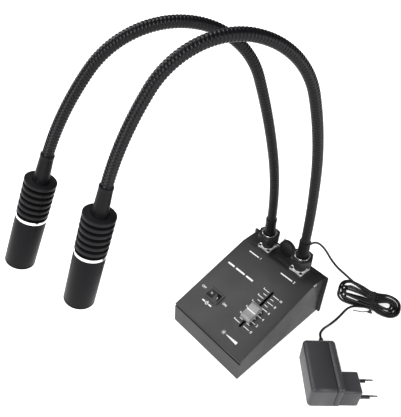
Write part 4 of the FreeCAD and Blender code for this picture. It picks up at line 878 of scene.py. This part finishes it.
tailPoints = [
    (82.5, 107.3, 5.65), (79.0, 99.5, 3.4), (79.5, 88.0, 1.8), (79.8, 74.0, 2.2), (80.0, 60.0, 6.2),
    (80.8, 47.5, 13.2), (83.25, 34.9, 17.5), (88.8, 29.8, 17.5), (102.8, 17.0, 17.5), (116.8, 4.15, 17.5),
]


def laneOf(run):
    return cordValues["inner"] + cordValues["step"] * abs(run - cordValues["climb"])


# How far the turn at the end of a run is pushed out of line, so that the loops fan out loosely.
def lobeShift(run, way):
    layer = "upper" if run >= cordValues["climb"] else "lower"
    dx, dy = cordValues["lobes"][(layer, way)]
    loose = cordValues["stagger"] * (1 if way < 0 else cordValues["calmShare"])
    wave, drift = cordValues["waves"]
    return dx + way * loose * abs(math.sin(wave * run)), dy + loose * math.sin(drift * run)


# The hank's loops: each run is drawn in at the waist and turned at its end.
def pilePoints():
    v = cordValues
    turn = math.radians(v["heading"])
    points = []
    height = v["floor"]

    def put(x, y, z):
        points.append((v["x"] + x * math.cos(turn) - y * math.sin(turn),
                       v["y"] + x * math.sin(turn) + y * math.cos(turn), z))

    def putTurn(centre, side, way, width, shift, angles):
        for degrees in angles:
            a = math.radians(degrees)
            put(centre + way * width * math.sin(a) * v["turnSwell"] + shift[0],
                side * width * math.cos(a) * v["turnSwell"] + shift[1], height)

    for run in range(v["lanes"]):
        side = 1 if run % 2 == 0 else -1
        startX, endX = (-v["left"], v["right"]) if side > 0 else (v["right"], -v["left"])
        width = laneOf(run)
        eased, waist = (side * (width - v["draw"] * v[share]) for share in ("easing", "waist"))
        if run > 0:
            dx, dy = lobeShift(run - 1, -side)
            centre = startX - side * (laneOf(run - 1) - width)
            putTurn(centre, side, -side, width, (dx, dy), v["turnDegrees"][::-1])
            put(startX + dx, side * width + dy, height)
            put(startX * v["runIn"] + dx / 2, eased + dy / 3, height)
        put(startX * v["middle"], waist, height)
        put(endX * v["middle"], waist, height)
        if run == v["lanes"] - 1:
            put(endX * 0.5, side * (width - v["draw"] * 0.5), height)
            break
        climbing = v["rise"] if run == v["climb"] else 0.0
        dx, dy = lobeShift(run, side)
        put(endX * v["runOut"] + dx / 2, eased + dy / 2, height + climbing * 0.6)
        height += climbing
        put(endX + dx, side * width + dy, height)
        putTurn(endX, side, side, width, (dx, dy), v["turnDegrees"])
    return points


cordCurve = bpy.data.curves.new("power_cord", "CURVE")
cordCurve.dimensions = "3D"
cordRoute = leadPoints + pilePoints() + tailPoints
cordSpline = cordCurve.splines.new("NURBS")
cordSpline.points.add(len(cordRoute) - 1)
for point, spot in zip(cordSpline.points, cordRoute):
    point.co = (*(Vector(spot) * mm), 1)
cordSpline.order_u = 3
cordSpline.use_endpoint_u = True
cordSpline.resolution_u = 6
cordCurve.bevel_depth = cordValues["diameter"] * mm / 2
cordCurve.bevel_resolution = 4
cordCurve.materials.append(finish["cordSkin"])
cordPiece = bpy.data.objects.new("power_cord", cordCurve)
work.objects.link(cordPiece)
settle(cordPiece, "box", ["cord_lead", "cord_hank", "cord_tail"])
print("cord laid")

# The stage. The bench glows for the camera more with distance, so that it fades into white.
stage = {"reach": 6.0, "under": 0.0002, "grey": 0.82, "floorGlow": 0.75, "farGlow": 1.05, "fadeFrom": 0.5,
         "fadeTo": 1.6, "floorSheen": 0.7, "roomLevel": 0.18, "roomSeen": 1.05}
lamps = {
    "overhead": dict(place=(-0.52, -0.15, 1.3), target=(0.0, 0.0, 0.1), size=0.7, power=8.2),
    "front": dict(place=(0.5, -1.5, 1.0), target=(0.0, 0.0, 0.1), size=1.1, power=24.5),
    "side": dict(place=(1.5, 0.2, 0.55), target=(0.0, 0.0, 0.1), size=0.9, power=11),
    "left": dict(place=(-1.45, -0.3, 0.85), target=(0.0, 0.0, 0.15), size=0.8, power=9),
}


def areaLight(name, place, target, size, power):
    data = bpy.data.lights.new(name, "AREA")
    data.shape = "DISK"
    data.size = size
    data.energy = power
    lamp = bpy.data.objects.new(name, data)
    lamp.location = place
    lamp.rotation_mode = "QUATERNION"
    lamp.rotation_quaternion = (Vector(target) - Vector(place)).to_track_quat("-Z", "Y")
    scene.collection.objects.link(lamp)


def makeFloor():
    bm = bmesh.new()
    bmesh.ops.create_grid(bm, x_segments=1, y_segments=1, size=stage["reach"],
                          matrix=Matrix.Translation((0, 0, -stage["under"])))
    mesh = bpy.data.meshes.new("bench")
    bm.to_mesh(mesh)
    bm.free()
    material, tree, shader = emptyMaterial("paleBench")
    seen = addNode(tree, "ShaderNodeLightPath").outputs
    where = addNode(tree, "ShaderNodeTexCoord").outputs["Object"]
    fade = addNode(tree, "ShaderNodeMapRange", {
        "Value": vectorNode(tree, "LENGTH", {0: where})["Value"], "From Min": stage["fadeFrom"],
        "From Max": stage["fadeTo"], "To Min": stage["floorGlow"], "To Max": stage["farGlow"]}).outputs[0]
    sheen = mathNode(tree, "MULTIPLY", seen["Is Glossy Ray"], stage["floorSheen"])
    glow = plusProduct(tree, sheen, seen["Is Camera Ray"], fade)
    feed(tree, shader, {"Base Color": (stage["grey"], stage["grey"], stage["grey"], 1), "Roughness": 0.9,
                        "Specular IOR Level": 0.1, "Emission Color": (1, 1, 1, 1),
                        "Emission Strength": glow})
    addMesh("bench", mesh, [material])


# White where the camera sees past the bench, dim for everything that the part reflects.
def makeRoom():
    world = bpy.data.worlds.new("softRoom")
    world.use_nodes = True
    tree = world.node_tree
    seen = addNode(tree, "ShaderNodeLightPath").outputs["Is Camera Ray"]
    level = plusProduct(tree, stage["roomLevel"], seen, stage["roomSeen"] - stage["roomLevel"])
    feed(tree, tree.nodes["Background"], {"Color": (1, 1, 1, 1), "Strength": level})
    scene.world = world


makeFloor()
makeRoom()
for name, values in lamps.items():
    areaLight(name, **values)

# The photo's camera: the focal length is in pixels of its width, the angles in radians.
shot = {"focal": 485.3, "width": 401, "yaw": -0.8249, "pitch": 0.7165, "roll": 0.0167,
        "place": (0.2323, -0.2961, 0.4990)}
yaw, pitch, roll = shot["yaw"], shot["pitch"], shot["roll"]
ahead = Vector((math.sin(yaw) * math.cos(pitch), math.cos(yaw) * math.cos(pitch), -math.sin(pitch)))
level = Vector((math.cos(yaw), -math.sin(yaw), 0))
above = level.cross(ahead)
rightWay = level * math.cos(roll) + above * math.sin(roll)
upWay = above * math.cos(roll) - level * math.sin(roll)
lensData = bpy.data.cameras.new("photoView")
lensData.sensor_fit = "HORIZONTAL"
lensData.angle = 2 * math.atan(shot["width"] / 2 / shot["focal"])
lensData.clip_start = 0.01
camera = bpy.data.objects.new("photoView", lensData)
turn = Matrix((rightWay, upWay, -ahead)).transposed().to_4x4()
camera.matrix_world = Matrix.Translation(shot["place"]) @ turn
scene.collection.objects.link(camera)
scene.camera = camera
scene.view_settings.view_transform = "Standard"

print("camera and lights set")
